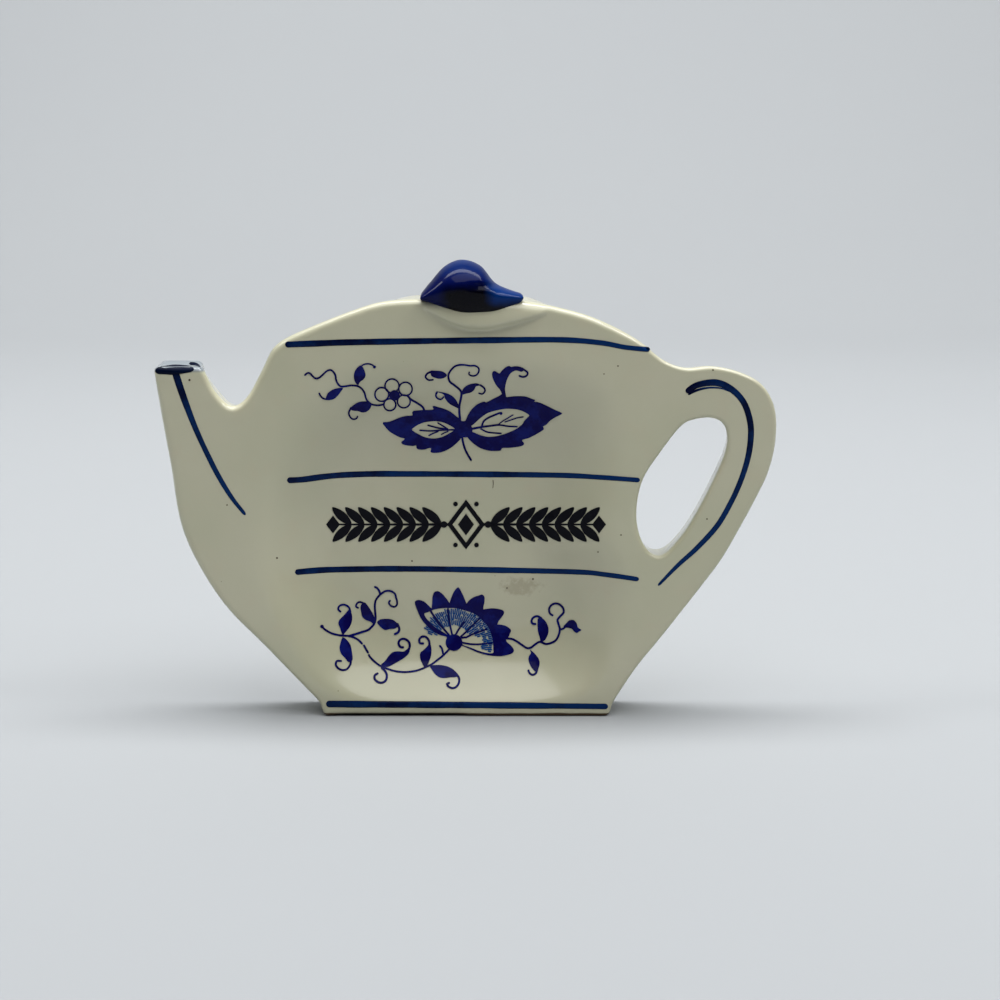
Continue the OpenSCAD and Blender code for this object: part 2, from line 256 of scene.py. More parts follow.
LAMP_TARGET = (0, 0, 40)
BACKDROP_TARGET = (0, 900, 300)
SKY_FRONT = paint(72, 74, 76)
SKY_BACK = paint(160, 163, 167)
SKY_CHANGE = (-0.6, 0.8)

hang_lamp("key_lamp", (170, -490, 1030), LAMP_TARGET, size=(1100, 900), power=7.9)
hang_lamp("left_lamp", (-560, -60, 680), LAMP_TARGET, size=(200, 140), power=1.05)
hang_lamp("right_lamp", (500, -170, 720), LAMP_TARGET, size=(260, 140), power=1.4)
hang_lamp("backdrop_lamp", (0, 200, 1300), BACKDROP_TARGET, size=(1400, 500), power=25.5)

world = bpy.data.worlds.new("soft_sky")
world.use_nodes = True
scene.world = world
sky = Nodes(world.node_tree)
sky_y = sky.axis(sky.node("ShaderNodeTexCoord", out=0), 1)
sky_colour = sky.mix(sky.step(sky_y, *SKY_CHANGE), SKY_FRONT, SKY_BACK)
sky_light = sky.node("ShaderNodeBackground", {}, {"Color": sky_colour, "Strength": 1.0})
sky.node("ShaderNodeOutputWorld", {}, {0: sky_light})


# Body with its spout and handle.
# The rest is one slab of earthenware in the outline of a teapot, cast hollow in front and
# dipped in ivory glaze. Its outline is followed counter-clockwise, seen from the front, in
# runs from corner to corner, and one closed skin is laid round it from the back to the front.
SLAB = 11.5
FRONT = -SLAB / 2
BACK = SLAB / 2
HALF_WIDTH = 59.0

# The rounded edges and the draft of the sides, from x or z to x or z where they change.
FRONT_ROUND = 1.45
BACK_ROUND = 1.5
FOOT_ROUND = 0.9
FOOT_GROWS = (2.6, 14.0)
HANDLE_SLIMMER_SHARE = 0.4
HANDLE_GROWS = (31, 40)
TIGHT_SHARE = 0.85
LEAST_TURN = 0.01
LEAST_ROUND_SHARE = 0.6
EDGE_REACH_SHARE = 1.1
EDGE_POWER = 2 / 3
EDGE_STEP = 0.5
EDGE_SPREAD = 8
EDGE_TURNS = 8
SIDE_STEPS = 8
SIDE_DRAFT = 1.2
KNOB_SPAN = (-9.0, 11.0)
SEAT_FADE = 8.0
SEAT_RISE = (77.6, 80.4)

# The outline, each point as (x, z).
FOOT_RUN = [(-27.7, 0), (27.7, 0)]
HEEL_RIGHT_RUN = [(27.7, 0), (28.3, 2.6)]
RIGHT_RUN = [(28.3, 2.6), (32.9, 9.7), (37.8, 16.0), (45.4, 26.1), (49.0, 31.2), (52.2, 37.0),
             (55.3, 43.1), (57.5, 48.1), (58.7, 54.0), (58.4, 60.2), (55.8, 64.8),
             (51.2, 67.2), (46.0, 68.2), (41.6, 67.8), (37.2, 69.3), (31.9, 73.4),
             (24.3, 77.2), (17.2, 79.3), (9.8, 80.8)]
SEAT_RUN = [(9.8, 80.8), (-7.8, 80.8)]
LEFT_LID_RUN = [(-7.8, 80.8), (-12.5, 80.7), (-18.1, 79.8), (-28.8, 75.8), (-35.8, 72.3),
                (-38.6, 67.5), (-41.5, 62.3), (-44.3, 60.4), (-46.3, 61.8), (-48.1, 64.1),
                (-49.9, 68.1)]
MOUTH_RUN = [(-49.9, 68.1), (-59.1, 68.1)]
LEFT_RUN = [(-59.1, 68.1), (-57.8, 58.5), (-56.2, 48.5), (-54.7, 38.1), (-51.5, 30.0),
            (-46.2, 21.5), (-38.5, 13.4), (-28.3, 2.6)]
HEEL_LEFT_RUN = [(-28.3, 2.6), (-27.7, 0)]
HOLE_RUN = [(37.2, 31.6), (34.0, 33.7), (32.5, 39.2), (33.5, 46.1), (36.9, 51.8),
            (40.8, 56.9), (43.4, 58.1), (46.3, 58.4), (48.6, 57.4), (49.5, 54.9),
            (49.2, 51.9), (48.0, 48.6), (46.0, 44.2), (43.6, 39.5), (40.9, 35.2)]
OUTLINE_EASINGS = 4
HOLE_EASINGS = 3

# The well. Its edge is given at equal turns round its middle, from +X and counter-clockwise,
# and its flat floor as an oval, both in shares of the half width.
WELL_MIDDLE = (-2.478, 33.968)
WELL_DEPTH = 7.0
WELL_EDGE_SHARES = [0.540, 0.562, 0.665, 0.750, 0.700, 0.634, 0.614, 0.627, 0.683, 0.716, 0.698,
                    0.682, 0.670, 0.660, 0.640, 0.660, 0.620, 0.555, 0.537, 0.557, 0.624, 0.688,
                    0.660, 0.630]
WELL_RING_COUNT = 720
WELL_RING_SPREAD = 14
FLOOR_POWER = 2.5
FLOOR_LOW_POWER = 3.2
FLOOR_LEFT_SHARE = 0.38
FLOOR_RIGHT_SHARE = 0.2
FLOOR_LOW_RIGHT_SHARE = 0.36
FLOOR_UP_SHARE = 0.22
FLOOR_DOWN_SHARE = 0.29
WALL_SHARE = 1.0
WALL_TOP_SHARE = 0.74
WALL_TOP_EASE = (0.5, 0.45)
WALL_LOW_EASE = (0.06, 0.85)
WALL_SIDE_EASE = (0.3, 0.4)

# The collar that swells out of the lid under the knob.
COLLAR_OUT = 1.7
COLLAR_RISE_SHARE = 0.32
COLLAR_LEAST_RUN = 0.3
COLLAR_END_POWER = 0.7
COLLAR_FADE_SHARE = 0.3
COLLAR_FADES = (0.5, 1.6)
COLLAR_PATCH_HEIGHTS = (74.0, 80.6)
COLLAR_TOP_LINE = [(-8.5, 80.4), (-3.7, 78.8), (0.7, 77.8), (5.3, 78.1), (9.8, 78.9),
                   (15.4, 78.6)]
COLLAR_LOW_LINE = [(-8.5, 79.2), (-3.1, 76.1), (2.5, 75.0), (8.2, 75.9), (11.5, 76.9),
                   (16.2, 78.4)]

# The mouth of the spout, and the foot, which was wiped unevenly.
MOUTH_MIDDLE = -54.4
MOUTH_DIP = 0.8
MOUTH_DIP_HALVES = (4.2, 4.6)
MOUTH_DIP_POWER = 4
MOUTH_DIP_FROM = 67.2
MOUTH_PINCH = 1.3
MOUTH_PINCH_FROM = (-42.0, 61.0)
MOUTH_UPRIGHT = (66.0, 68.0)
MOUTH_SHOULDER = 1
FOOT_GAP = 0.4
FOOT_GAP_SPAN = (-27.4, -24.0, -3.0, 3.0)
FOOT_GAP_FADE = (0.2, 2.0)

# The triangles that fill the faces.
GRID_STEP = 0.8
COLLAR_GRID_STEP = 0.35
BACK_GRID_STEP = 1.6
GRID_CLEAR_SHARE = 0.6
CUT_LIMIT = 1e-6


def bend(a, b, c, d, t):
    """The spline between b and c, whose neighbours are a and d."""
    return 0.5 * (2 * b + (c - a) * t + (2 * a - 5 * b + 4 * c - d) * t * t
                  + (3 * b - a - 3 * c + d) * t ** 3)


def smooth_line(points, step, closed=False):
    """Points about step apart on a smooth line through the given ones."""
    given = [Vector(p) for p in points]
    count = len(given)
    spans = count if closed else count - 1
    line = []
    for i in range(spans):
        if closed:
            a, b, c, d = (given[(i + k) % count] for k in (-1, 0, 1, 2))
        else:
            a, b, c, d = (given[min(max(i + k, 0), count - 1)] for k in (-1, 0, 1, 2))
        parts = max(1, round((c - b).length / step))
        line += [bend(a, b, c, d, k / parts) for k in range(parts)]
    if not closed:
        line.append(given[-1])
    return line


def evenly(loop, step):
    """A closed line again, with its points spaced evenly."""
    lengths = [0.0]
    for i, p in enumerate(loop):
        lengths.append(lengths[-1] + (loop[(i + 1) % len(loop)] - p).length)
    count = round(lengths[-1] / step)
    spaced = []
    k = 0
    for j in range(count):
        goal = lengths[-1] * j / count
        while lengths[k + 1] < goal:
            k += 1
        share = (goal - lengths[k]) / (lengths[k + 1] - lengths[k])
        spaced.append(loop[k].lerp(loop[(k + 1) % len(loop)], share))
    return spaced


def eased(loop, rounds):
    """A closed line with its corners eased a little more in each round."""
    for _ in range(rounds):
        loop = [loop[i] * 0.5 + (loop[i - 1] + loop[(i + 1) % len(loop)]) * 0.25
                for i in range(len(loop))]
    return loop


def step_up(value, low, high):
    """0 below low, 1 above high and a smooth rise between them."""
    t = min(1.0, max(0.0, (value - low) / (high - low)))
    return t * t * (3 - 2 * t)


def soft_ramp(t, start, end):
    """0 below 0, 1 above 1 and an even slope between them, eased over these end shares."""
    t = min(1.0, max(0.0, t))
    slope = 1 / (1 - (start + end) / 2)
    if t < start:
        return slope * t * t / (2 * start)
    if t > 1 - end:
        return 1 - slope * (1 - t) ** 2 / (2 * end)
    return slope * (t - start / 2)


def even_ring(shares, count, spread):
    """A ring of shares as a fine ring of numbers, each the mean of those near it."""
    fine = []
    for i in range(count):
        u = i / count * len(shares)
        k = int(u)
        a, b, c, d = (shares[(k + j) % len(shares)] for j in (-1, 0, 1, 2))
        fine.append(bend(a, b, c, d, u - k))
    window = range(-spread, spread + 1)
    return [sum(fine[(i + j) % count] for j in window) / len(window) for i in range(count)]


well_ring = even_ring(WELL_EDGE_SHARES, WELL_RING_COUNT, WELL_RING_SPREAD)


def well_at(x, z):
    """How deep the well is at a place on the front."""
    across = (x - WELL_MIDDLE[0]) / HALF_WIDTH
    up = (z - WELL_MIDDLE[1]) / HALF_WIDTH
    turn = math.atan2(up, across)
    place = turn / (2 * math.pi) % 1 * WELL_RING_COUNT
    first = int(place) % WELL_RING_COUNT
    ahead = well_ring[(first + 1) % WELL_RING_COUNT]
    edge = well_ring[first] + (ahead - well_ring[first]) * (place - int(place))
    low = step_up(-math.sin(turn), 0, 1)
    right = FLOOR_RIGHT_SHARE + (FLOOR_LOW_RIGHT_SHARE - FLOOR_RIGHT_SHARE) * low
    side = abs(math.cos(turn)) / (FLOOR_LEFT_SHARE if math.cos(turn) < 0 else right)
    end = abs(math.sin(turn)) / (FLOOR_UP_SHARE if math.sin(turn) > 0 else FLOOR_DOWN_SHARE)
    power = FLOOR_POWER + (FLOOR_LOW_POWER - FLOOR_POWER) * low
    floor = (side ** power + end ** power) ** (-1 / power)
    upright = math.sin(turn) ** 2
    ends = WALL_TOP_EASE if math.sin(turn) > 0 else WALL_LOW_EASE
    ease = [level + (steep - level) * upright for level, steep in zip(WALL_SIDE_EASE, ends)]
    reach = WALL_SHARE + (WALL_TOP_SHARE - WALL_SHARE) * max(0.0, math.sin(turn)) ** 2
    share = (edge - math.hypot(across, up)) / (reach * (edge - floor))
    return WELL_DEPTH * soft_ramp(share, *ease)


def height_on(line, x):
    """The height of a line that runs to the right, at a place across."""
    for a, b in zip(line, line[1:]):
        if a.x <= x <= b.x:
            return a.y + (b.y - a.y) * (x - a.x) / (b.x - a.x)
    return None


collar_top = smooth_line(COLLAR_TOP_LINE, EDGE_STEP)
collar_low = smooth_line(COLLAR_LOW_LINE, EDGE_STEP)


def collar_at(x, z):
    """How far the collar under the knob stands out at a place on the front."""
    top = height_on(collar_top, x)
    low = height_on(collar_low, x)
    if top is None or low is None or z < low:
        return 0.0
    share = (z - low) / max(COLLAR_LEAST_RUN, top - low)
    along = (x - COLLAR_LOW_LINE[0][0]) / (COLLAR_TOP_LINE[-1][0] - COLLAR_LOW_LINE[0][0])
    ends = math.sin(math.pi * min(1.0, max(0.0, along))) ** COLLAR_END_POWER
    swell = step_up(share, 0, COLLAR_RISE_SHARE)
    swell *= 1 - COLLAR_FADE_SHARE * step_up(share, *COLLAR_FADES)
    return COLLAR_OUT * ends * swell


def front_at(x, z):
    """The front face of the ware at a place, as a depth along Y."""
    return FRONT + well_at(x, z) - collar_at(x, z)


def inward_ways(loop):
    """The way into the ware at each point of a closed line that has the ware on its left."""
    ways = []
    for i in range(len(loop)):
        along = (loop[(i + 1) % len(loop)] - loop[i - 1]).normalized()
        ways.append(Vector((-along.y, along.x)))
    return ways


def edge_inset(turn):
    """How far in the rounded edge is at a turn, in radii: it runs softly into the face."""
    return EDGE_REACH_SHARE * (1 - abs(math.cos(turn)) ** EDGE_POWER)


def slimmed(full, x):
    """The full radius of the rounded edge at a place across: the handle has a slimmer edge."""
    return full * (1 - HANDLE_SLIMMER_SHARE * step_up(x, *HANDLE_GROWS))


def edge_rounding(loop, full):
    """The radius of the rounded edge at each point: small at the foot and in tight corners."""
    count = len(loop)
    radii = []
    for i, p in enumerate(loop):
        before = (p - loop[i - 1]).normalized()
        after = (loop[(i + 1) % count] - p).normalized()
        turning = before.x * after.y - before.y * after.x
        curve_radius = EDGE_STEP / turning if turning > LEAST_TURN else math.inf
        tight = min(full, TIGHT_SHARE / EDGE_REACH_SHARE * curve_radius)
        foot = FOOT_ROUND + (full - FOOT_ROUND) * step_up(p.y, *FOOT_GROWS)
        radii.append(min(slimmed(full, p.x), tight, foot))
    near = range(-EDGE_SPREAD, EDGE_SPREAD + 1)
    least = [min(radii[(i + k) % count] for k in near) for i in range(count)]
    return [sum(least[(i + k) % count] for k in near) / len(near) for i in range(count)]


def filled(loops, step, patches=()):
    """Triangles that fill the first loop but for the second, with a grid of points inside,
    which is finer in a patch (x0, x1, z0, z1, step) of the face.
    """
    border = [p for loop in loops for p in loop]
    tree = KDTree(len(border))
    for i, p in enumerate(border):
        tree.insert((p.x, p.y, 0), i)
    tree.balance()
    whole = (min(p.x for p in border), max(p.x for p in border),
             min(p.y for p in border), max(p.y for p in border), step)
    patches = [whole, *patches]
    grid = []
    for index, (x0, x1, y0, y1, gap) in enumerate(patches):
        finer = patches[index + 1:]
        for j in range(int((y1 - y0) / gap) + 1):
            for i in range(int((x1 - x0) / gap) + 1):
                p = Vector((x0 + (i + j % 2 / 2) * gap, y0 + j * gap))
                taken = any(a <= p.x <= b and c <= p.y <= d for a, b, c, d, _ in finer)
                if not taken and tree.find((p.x, p.y, 0))[2] > gap * GRID_CLEAR_SHARE:
                    grid.append(p)
    rings = []
    start = 0
    for index, loop in enumerate(loops):
        ring = list(range(start, start + len(loop)))
        rings.append(ring[::-1] if index else ring)
        start += len(loop)
    flat, _, faces, origins, _, sources = delaunay_2d_cdt(border + grid, [], rings, 0, CUT_LIMIT)
    kept = [face for face, source in zip(faces, sources) if source == [0]]
    names = [o[0] if o and o[0] < len(border) else None for o in origins]
    return flat, kept, names


outline = []
for run in (FOOT_RUN, HEEL_RIGHT_RUN, RIGHT_RUN, SEAT_RUN, LEFT_LID_RUN, MOUTH_RUN, LEFT_RUN,
            HEEL_LEFT_RUN):
    outline += smooth_line(run, EDGE_STEP)[:-1]
outline = eased(evenly(outline, EDGE_STEP), OUTLINE_EASINGS)
finger_hole = smooth_line(HOLE_RUN, EDGE_STEP, closed=True)
finger_hole = eased(evenly(finger_hole, EDGE_STEP), HOLE_EASINGS)


def foot_gap(x, z):
    """How far the unevenly wiped foot stands clear of the table at a place on it."""
    low = 1 - step_up(z, *FOOT_GAP_FADE)
    rise_from, rise_to, fall_from, fall_to = FOOT_GAP_SPAN
    return FOOT_GAP * low * step_up(x, rise_from, rise_to) * (1 - step_up(x, fall_from, fall_to))


def mouth_dip(x, y, z):
    """How far the open end of the spout is hollowed at a place on it."""
    along = abs(x - MOUTH_MIDDLE) / MOUTH_DIP_HALVES[0]
    across = abs(y) / MOUTH_DIP_HALVES[1]
    if z < MOUTH_DIP_FROM or along >= 1 or across >= 1:
        return 0.0
    return MOUTH_DIP * (1 - along ** MOUTH_DIP_POWER) * (1 - across ** MOUTH_DIP_POWER)


def side_slope(p, radius):
    """How much of the full draft the side has: none at the foot, the mouth and the knob."""
    full = slimmed(FRONT_ROUND, p.x)
    least = min(FOOT_ROUND, LEAST_ROUND_SHARE * full)
    share = min(1.0, max(0.0, (radius - least) / (full - least)))
    aside = max(KNOB_SPAN[0] - p.x, p.x - KNOB_SPAN[1], 0.0)
    share *= 1 - (1 - step_up(aside, 0, SEAT_FADE)) * step_up(p.y, *SEAT_RISE)
    if p.x < MOUTH_RUN[0][0] + MOUTH_SHOULDER:
        share *= 1 - step_up(p.y, *MOUTH_UPRIGHT)
    return share


def edge_rings(loop, ways, front_r, back_r):
    """Rings of (place, y) from the back face round both edges to the front face."""
    rings = []
    for i in range(EDGE_TURNS + 1):
        turn = math.pi / 2 * i / EDGE_TURNS
        inset = edge_inset(math.pi / 2 - turn)
        rings.append([(p + way * r * inset, BACK - r * (1 - math.cos(turn)))
                      for p, way, r in zip(loop, ways, back_r)])
    for i in range(1, SIDE_STEPS):
        share = i / SIDE_STEPS
        rings.append([(p, (BACK - rb) + (FRONT + rf - BACK + rb) * share)
                      for p, rf, rb in zip(loop, front_r, back_r)])
    for i in range(EDGE_TURNS + 1):
        turn = math.pi / 2 * i / EDGE_TURNS
        inset = edge_inset(turn)
        rings.append([(p + way * r * inset, FRONT + r * (1 - math.sin(turn)))
                      for p, way, r in zip(loop, ways, front_r)])
    return rings


def drawn_in(p, y, inward):
    """A place of the edge moved in by the draft, and by the pinch of the mouth's right side."""
    back_share = min(1.0, max(0.0, (y - FRONT - FRONT_ROUND) / (SLAB - FRONT_ROUND)))
    p = p + inward * back_share
    if p.x < MOUTH_PINCH_FROM[0]:
        high = step_up(p.y, MOUTH_PINCH_FROM[1], MOUTH_RUN[0][1])
        right = step_up(p.x, MOUTH_MIDDLE, MOUTH_RUN[0][0])
        p = p - Vector((MOUTH_PINCH * high * right * back_share, 0))
    return p


def edge_skin(loop, places, faces):
    """Adds the skin round a closed line. Gives its first and last ring, each as the number
    of its first place and its points on the face.
    """
    ways = inward_ways(loop)
    front_r = edge_rounding(loop, FRONT_ROUND)
    back_r = edge_rounding(loop, BACK_ROUND)
    drafts = [SIDE_DRAFT * side_slope(p, r) for p, r in zip(loop, front_r)]
    rings = edge_rings(loop, ways, front_r, back_r)
    count = len(loop)
    start = len(places)
    for j, ring in enumerate(rings):
        sinking = max(0, j - EDGE_TURNS - SIDE_STEPS) / EDGE_TURNS
        for (p, y), way, draft in zip(ring, ways, drafts):
            p = drawn_in(p, y, way * draft)
            sunk = (front_at(p.x, p.y) - FRONT) * sinking
            z = p.y - mouth_dip(p.x, y, p.y) + foot_gap(p.x, p.y)
            places.append((p.x, y + sunk, z))
    for j in range(len(rings) - 1):
        for k in range(count):
            a = start + j * count + k
            b = start + j * count + (k + 1) % count
            faces.append((a, b, b + count, a + count))
    back_ring = [Vector(places[start + k][::2]) for k in range(count)]
    front_ring = [p for p, _ in rings[-1]]
    return (start, back_ring), (start + (len(rings) - 1) * count, front_ring)


def face_skin(rings, step, patches, is_front, places, faces):
    """Adds the front or the back face between the rings of the edge skins."""
    starts = [index for first, loop in rings for index in range(first, first + len(loop))]
    flat, kept, names = filled([loop for _, loop in rings], step, patches)
    index_of = []
    for p, name in zip(flat, names):
        if name is not None:
            index_of.append(starts[name])
        else:
            index_of.append(len(places))
            places.append((p.x, front_at(p.x, p.y) if is_front else BACK, p.y))
    for face in kept:
        corners = [index_of[i] for i in face]
        if not is_front:
            corners.reverse()
        faces.append(corners)


ware_places = []
ware_faces = []
edge_ends = [edge_skin(loop, ware_places, ware_faces) for loop in (outline, finger_hole)]
back_rings, front_rings = zip(*edge_ends)
collar_patch = (COLLAR_LOW_LINE[0][0], COLLAR_LOW_LINE[-1][0], *COLLAR_PATCH_HEIGHTS,
                COLLAR_GRID_STEP)
face_skin(front_rings, GRID_STEP, [collar_patch], True, ware_places, ware_faces)
face_skin(back_rings, BACK_GRID_STEP, [], False, ware_places, ware_faces)

IVORY_DEEP = paint(189, 188, 160)
IVORY_PALE = paint(197, 194, 168)
IVORY_WARM = paint(196, 187, 160)
IVORY_CLOUD = 26
IVORY_MOTTLE = 5
IVORY_WAVE = 9
IVORY_WAVE_HEIGHT = 0.6
IVORY_WAVE_STRENGTH = 0.12
IVORY_CLOUD_SPAN = (0.3, 0.7)
IVORY_WARM_SPAN = (0.5, 0.8)
IVORY_WARM_MOST = 0.35
IVORY_ROUGHNESS = 0.45
SMUDGE_PX = (520, 586)
SMUDGE_HALVES = (5.4, 2.3)
SMUDGE_GRAIN = 1.6
SMUDGE_FADE = 0.35
SMUDGE_SPAN = (0.2, 0.5)
SMUDGE_DEPTHS = (0, 3)
SMUDGE_MOST = 0.6
SMUDGE_BROWN = paint(136, 120, 92)
PINHOLES_PER_METRE = 210.0
PINHOLE_SPAN = (0.012, 0.035)
PINHOLE_PATCH = 11
PINHOLE_PATCH_SPAN = (0.56, 0.6)
PINHOLE_MOST = 0.7
PINHOLE_BROWN = paint(96, 84, 62)
MOUTH_TOP_TINT_HEIGHTS = (66.9, 67.5)
MOUTH_TOP_TINT_ENDS = (-49.5, -48.7)
MOUTH_TOP_TINT_MOST = 0.85
MOUTH_TOP_GREY_BLUE = paint(112, 124, 138)
BARE_HEIGHT = 0.75
BARE_FADE = 0.25
BARE_WAVER = 0.4
FOOT_EDGE_DARK_BROWN = paint(84, 66, 50)
BARE_ROUGHER = 0.35

ivory, ivory_nodes = finish_tree("ivory_glaze")
ivory_place = ivory_nodes.place()
ivory_x, ivory_y, ivory_z = (ivory_nodes.axis(ivory_place, number) / MM for number in range(3))
ivory_cloud = ivory_nodes.noise(ivory_place, IVORY_CLOUD, detail=3)
ivory_mottle = ivory_nodes.noise(ivory_place, IVORY_MOTTLE, detail=3)
smudge_place = eye + sight_line(SMUDGE_PX) * (FRONT + WELL_DEPTH - eye.y)
smudge_right = (ivory_x - smudge_place.x) / SMUDGE_HALVES[0]
smudge_up = (ivory_z - smudge_place.z) / SMUDGE_HALVES[1]
smudge_far = smudge_right * smudge_right + smudge_up * smudge_up
smudge_grain = ivory_nodes.noise(ivory_place, SMUDGE_GRAIN, detail=4, roughness=0.7)
smudge = ivory_nodes.step(smudge_grain - smudge_far * SMUDGE_FADE, *SMUDGE_SPAN)
smudge = smudge * (1.0 - ivory_nodes.step(ivory_y, *SMUDGE_DEPTHS))
pinholes = {"Vector": ivory_place, "Scale": PINHOLES_PER_METRE}
pinhole_far = ivory_nodes.node("ShaderNodeTexVoronoi", {}, pinholes)
pinhole_patch = ivory_nodes.noise(ivory_place, PINHOLE_PATCH, detail=1)
pinhole_patch = ivory_nodes.step(pinhole_patch, *PINHOLE_PATCH_SPAN)
pinhole = (1.0 - ivory_nodes.step(pinhole_far, *PINHOLE_SPAN)) * pinhole_patch
# The top of the spout's mouth is darkened to a grey-blue.
mouth_top_tint = ivory_nodes.step(ivory_z, *MOUTH_TOP_TINT_HEIGHTS)
mouth_top_tint = mouth_top_tint * (1.0 - ivory_nodes.step(ivory_x, *MOUTH_TOP_TINT_ENDS))
# The lowest edge of the foot has no coat, is rougher and is coloured dark brown.
bare = ivory_nodes.step(ivory_z + ivory_mottle * BARE_WAVER, BARE_HEIGHT, BARE_HEIGHT + BARE_FADE)
bare = 1.0 - bare
ivory_pale = ivory_nodes.step(ivory_cloud, *IVORY_CLOUD_SPAN)
ivory_warm = ivory_nodes.step(ivory_mottle, *IVORY_WARM_SPAN)
ivory_tone = ivory_nodes.mix(ivory_pale, IVORY_DEEP, IVORY_PALE)
for share, colour in ((ivory_warm * IVORY_WARM_MOST, IVORY_WARM),
                      (smudge * SMUDGE_MOST, SMUDGE_BROWN),
                      (pinhole * PINHOLE_MOST, PINHOLE_BROWN),
                      (mouth_top_tint * MOUTH_TOP_TINT_MOST, MOUTH_TOP_GREY_BLUE),
                      (bare, FOOT_EDGE_DARK_BROWN)):
    ivory_tone = ivory_nodes.mix(share, ivory_tone, colour)
ivory_wave = ivory_nodes.noise(ivory_place, IVORY_WAVE, detail=2)
ivory_bump = ivory_nodes.bump(ivory_wave, IVORY_WAVE_STRENGTH, IVORY_WAVE_HEIGHT)
close_finish(ivory_nodes, {"Base Color": ivory_tone,
                           "Roughness": bare * BARE_ROUGHER + IVORY_ROUGHNESS,
                           "Specular IOR Level": 0.2, "Coat Weight": 1.0 - bare,
                           "Coat Roughness": 0.16, "Normal": ivory_bump})
ware = make_piece("body_spout_and_handle", ware_places, ware_faces, ivory)
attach(ware, "root")
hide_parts("dish", "spout", "handle", "knob_collar")


# Foot ring on the back.
# A low ring stands on the back, so that the rest can also lie down. It was wiped bare of
# glaze before firing, and its rounded crest shows the pale biscuit.
RING_OUTER = 21.0
RING_INNER = 18.0
RING_HEIGHT = 0.9
RING_STEPS = 144
RING_SUNK = 0.2
RING_CREST_STEPS = 12
RING_SIDE_POWER = 0.6
RING_CREST_POWER = 0.7
BISCUIT_DARK = paint(176, 160, 134)
BISCUIT_PALE = paint(198, 184, 160)
BISCUIT_GRAIN = 0.5
BISCUIT_GRAIN_HEIGHT = 0.1
BISCUIT_GRAIN_STRENGTH = 0.3


def turned_ring(profile, middle, steps):
    """Places and faces of a closed profile of (radius, y) turned about an axis along Y."""
    places = []
    for i in range(steps):
        turn = 2 * math.pi * i / steps
        places += [(middle[0] + r * math.cos(turn), y, middle[1] + r * math.sin(turn))
                   for r, y in profile]
    count = len(profile)
    faces = []
    for i in range(steps):
        for j in range(count):
            a = i * count + j
            b = i * count + (j + 1) % count
            c = (i + 1) % steps * count + (j + 1) % count
            d = (i + 1) % steps * count + j
            faces.append((a, b, c, d))
    return places, faces


ring_middle_r = (RING_OUTER + RING_INNER) / 2
ring_half = (RING_OUTER - RING_INNER) / 2
ring_profile = [(RING_INNER, BACK - RING_SUNK), (RING_OUTER, BACK - RING_SUNK)]
for step in range(RING_CREST_STEPS + 1):
    turn = math.pi * step / RING_CREST_STEPS
    side = math.copysign(abs(math.cos(turn)) ** RING_SIDE_POWER, math.cos(turn))
    ring_profile.append((ring_middle_r + ring_half * side,
                         BACK + RING_HEIGHT * math.sin(turn) ** RING_CREST_POWER))

biscuit, biscuit_nodes = finish_tree("bare_biscuit")
biscuit_grain = biscuit_nodes.noise(biscuit_nodes.place(), BISCUIT_GRAIN, detail=4)
biscuit_tone = biscuit_nodes.mix(biscuit_grain, BISCUIT_DARK, BISCUIT_PALE)
biscuit_bump = biscuit_nodes.bump(biscuit_grain, BISCUIT_GRAIN_STRENGTH, BISCUIT_GRAIN_HEIGHT)
close_finish(biscuit_nodes, {"Base Color": biscuit_tone, "Roughness": 0.85,
                             "Normal": biscuit_bump})
ring_places, ring_faces = turned_ring(ring_profile, WELL_MIDDLE, RING_STEPS)
foot_ring = make_piece("foot_ring_on_back", ring_places, ring_faces, biscuit)
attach(foot_ring, "root")
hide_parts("foot_ring")


# Knob.
# A bud with a petal drawn out to the right, modelled by hand, luted on the lid and brushed
# with thick cobalt. Its belly is painted nearly black as painted shade, its top, crown and
# petal are painted a lighter blue as painted light, and its left end is kept out of the shade.
KNOB_DEPTH = 7.0
KNOB_SECTIONS = 96
KNOB_TURNS = 48
KNOB_SEAT = 80.8
KNOB_SUNK = 0.25
CROWN_LINE = [(-8.7, 81.7), (-6.9, 83.8), (-4.1, 86.8), (-0.9, 88.0), (2.6, 86.9), (5.2, 83.9),
              (7.6, 82.7), (10.7, 81.8)]
DROOP_LINE = [0.15, 0.55, 1.7, 2.85, 2.95, 2.7, 1.9, 0.15]
KNOB_DEPTH_SHARES = [0.42, 0.68, 0.92, 1, 0.96, 0.78, 0.56, 0.3]
KNOB_MIDDLE_SHARES = [0.78, 0.52, 0.32, 0.26, 0.3, 0.46, 0.62, 0.8]
KNOB_WIDEST_SHARE = 0.32
KNOB_TIP_SHARE = 0.05
KNOB_TIP_OUT = 0.12
KNOB_LEAST_BULGE = 0.15
KNOB_BACK_CLEAR = 1
CREASE_HEIGHT = 83.6
CREASE_HALF = 0.7
CREASE_DEPTH = 0.7
CREASE_STARTS = (-0.5, 2.5)
CREASE_ENDS = (5.0, 7.0)
COBALT_PAINTED_SHADE = paint(0, 0, 8)
COBALT_TOP_PAINTED_LIGHT = paint(0, 9, 70)
COBALT_LEFT_UNSHADED = paint(0, 9, 66)
COBALT_CROWN_PAINTED_LIGHT = paint(0, 38, 98)
COBALT_PETAL_PAINTED_LIGHT = paint(0, 42, 104)
COBALT_CLOUD = 3.0
TOP_PAINTED_LIGHT_HEIGHTS = (83.0, 85.6)
TOP_PAINTED_LIGHT_WAVER = 1.6
SIDE_LIGHT_AND_SHADE_WAVER = 2.4
LEFT_UNSHADED_ENDS = (-4.9, -1.6)
CROWN_PAINTED_LIGHT_HEIGHTS = (85.8, 90.4)
CROWN_PAINTED_LIGHT_WAVER = 3
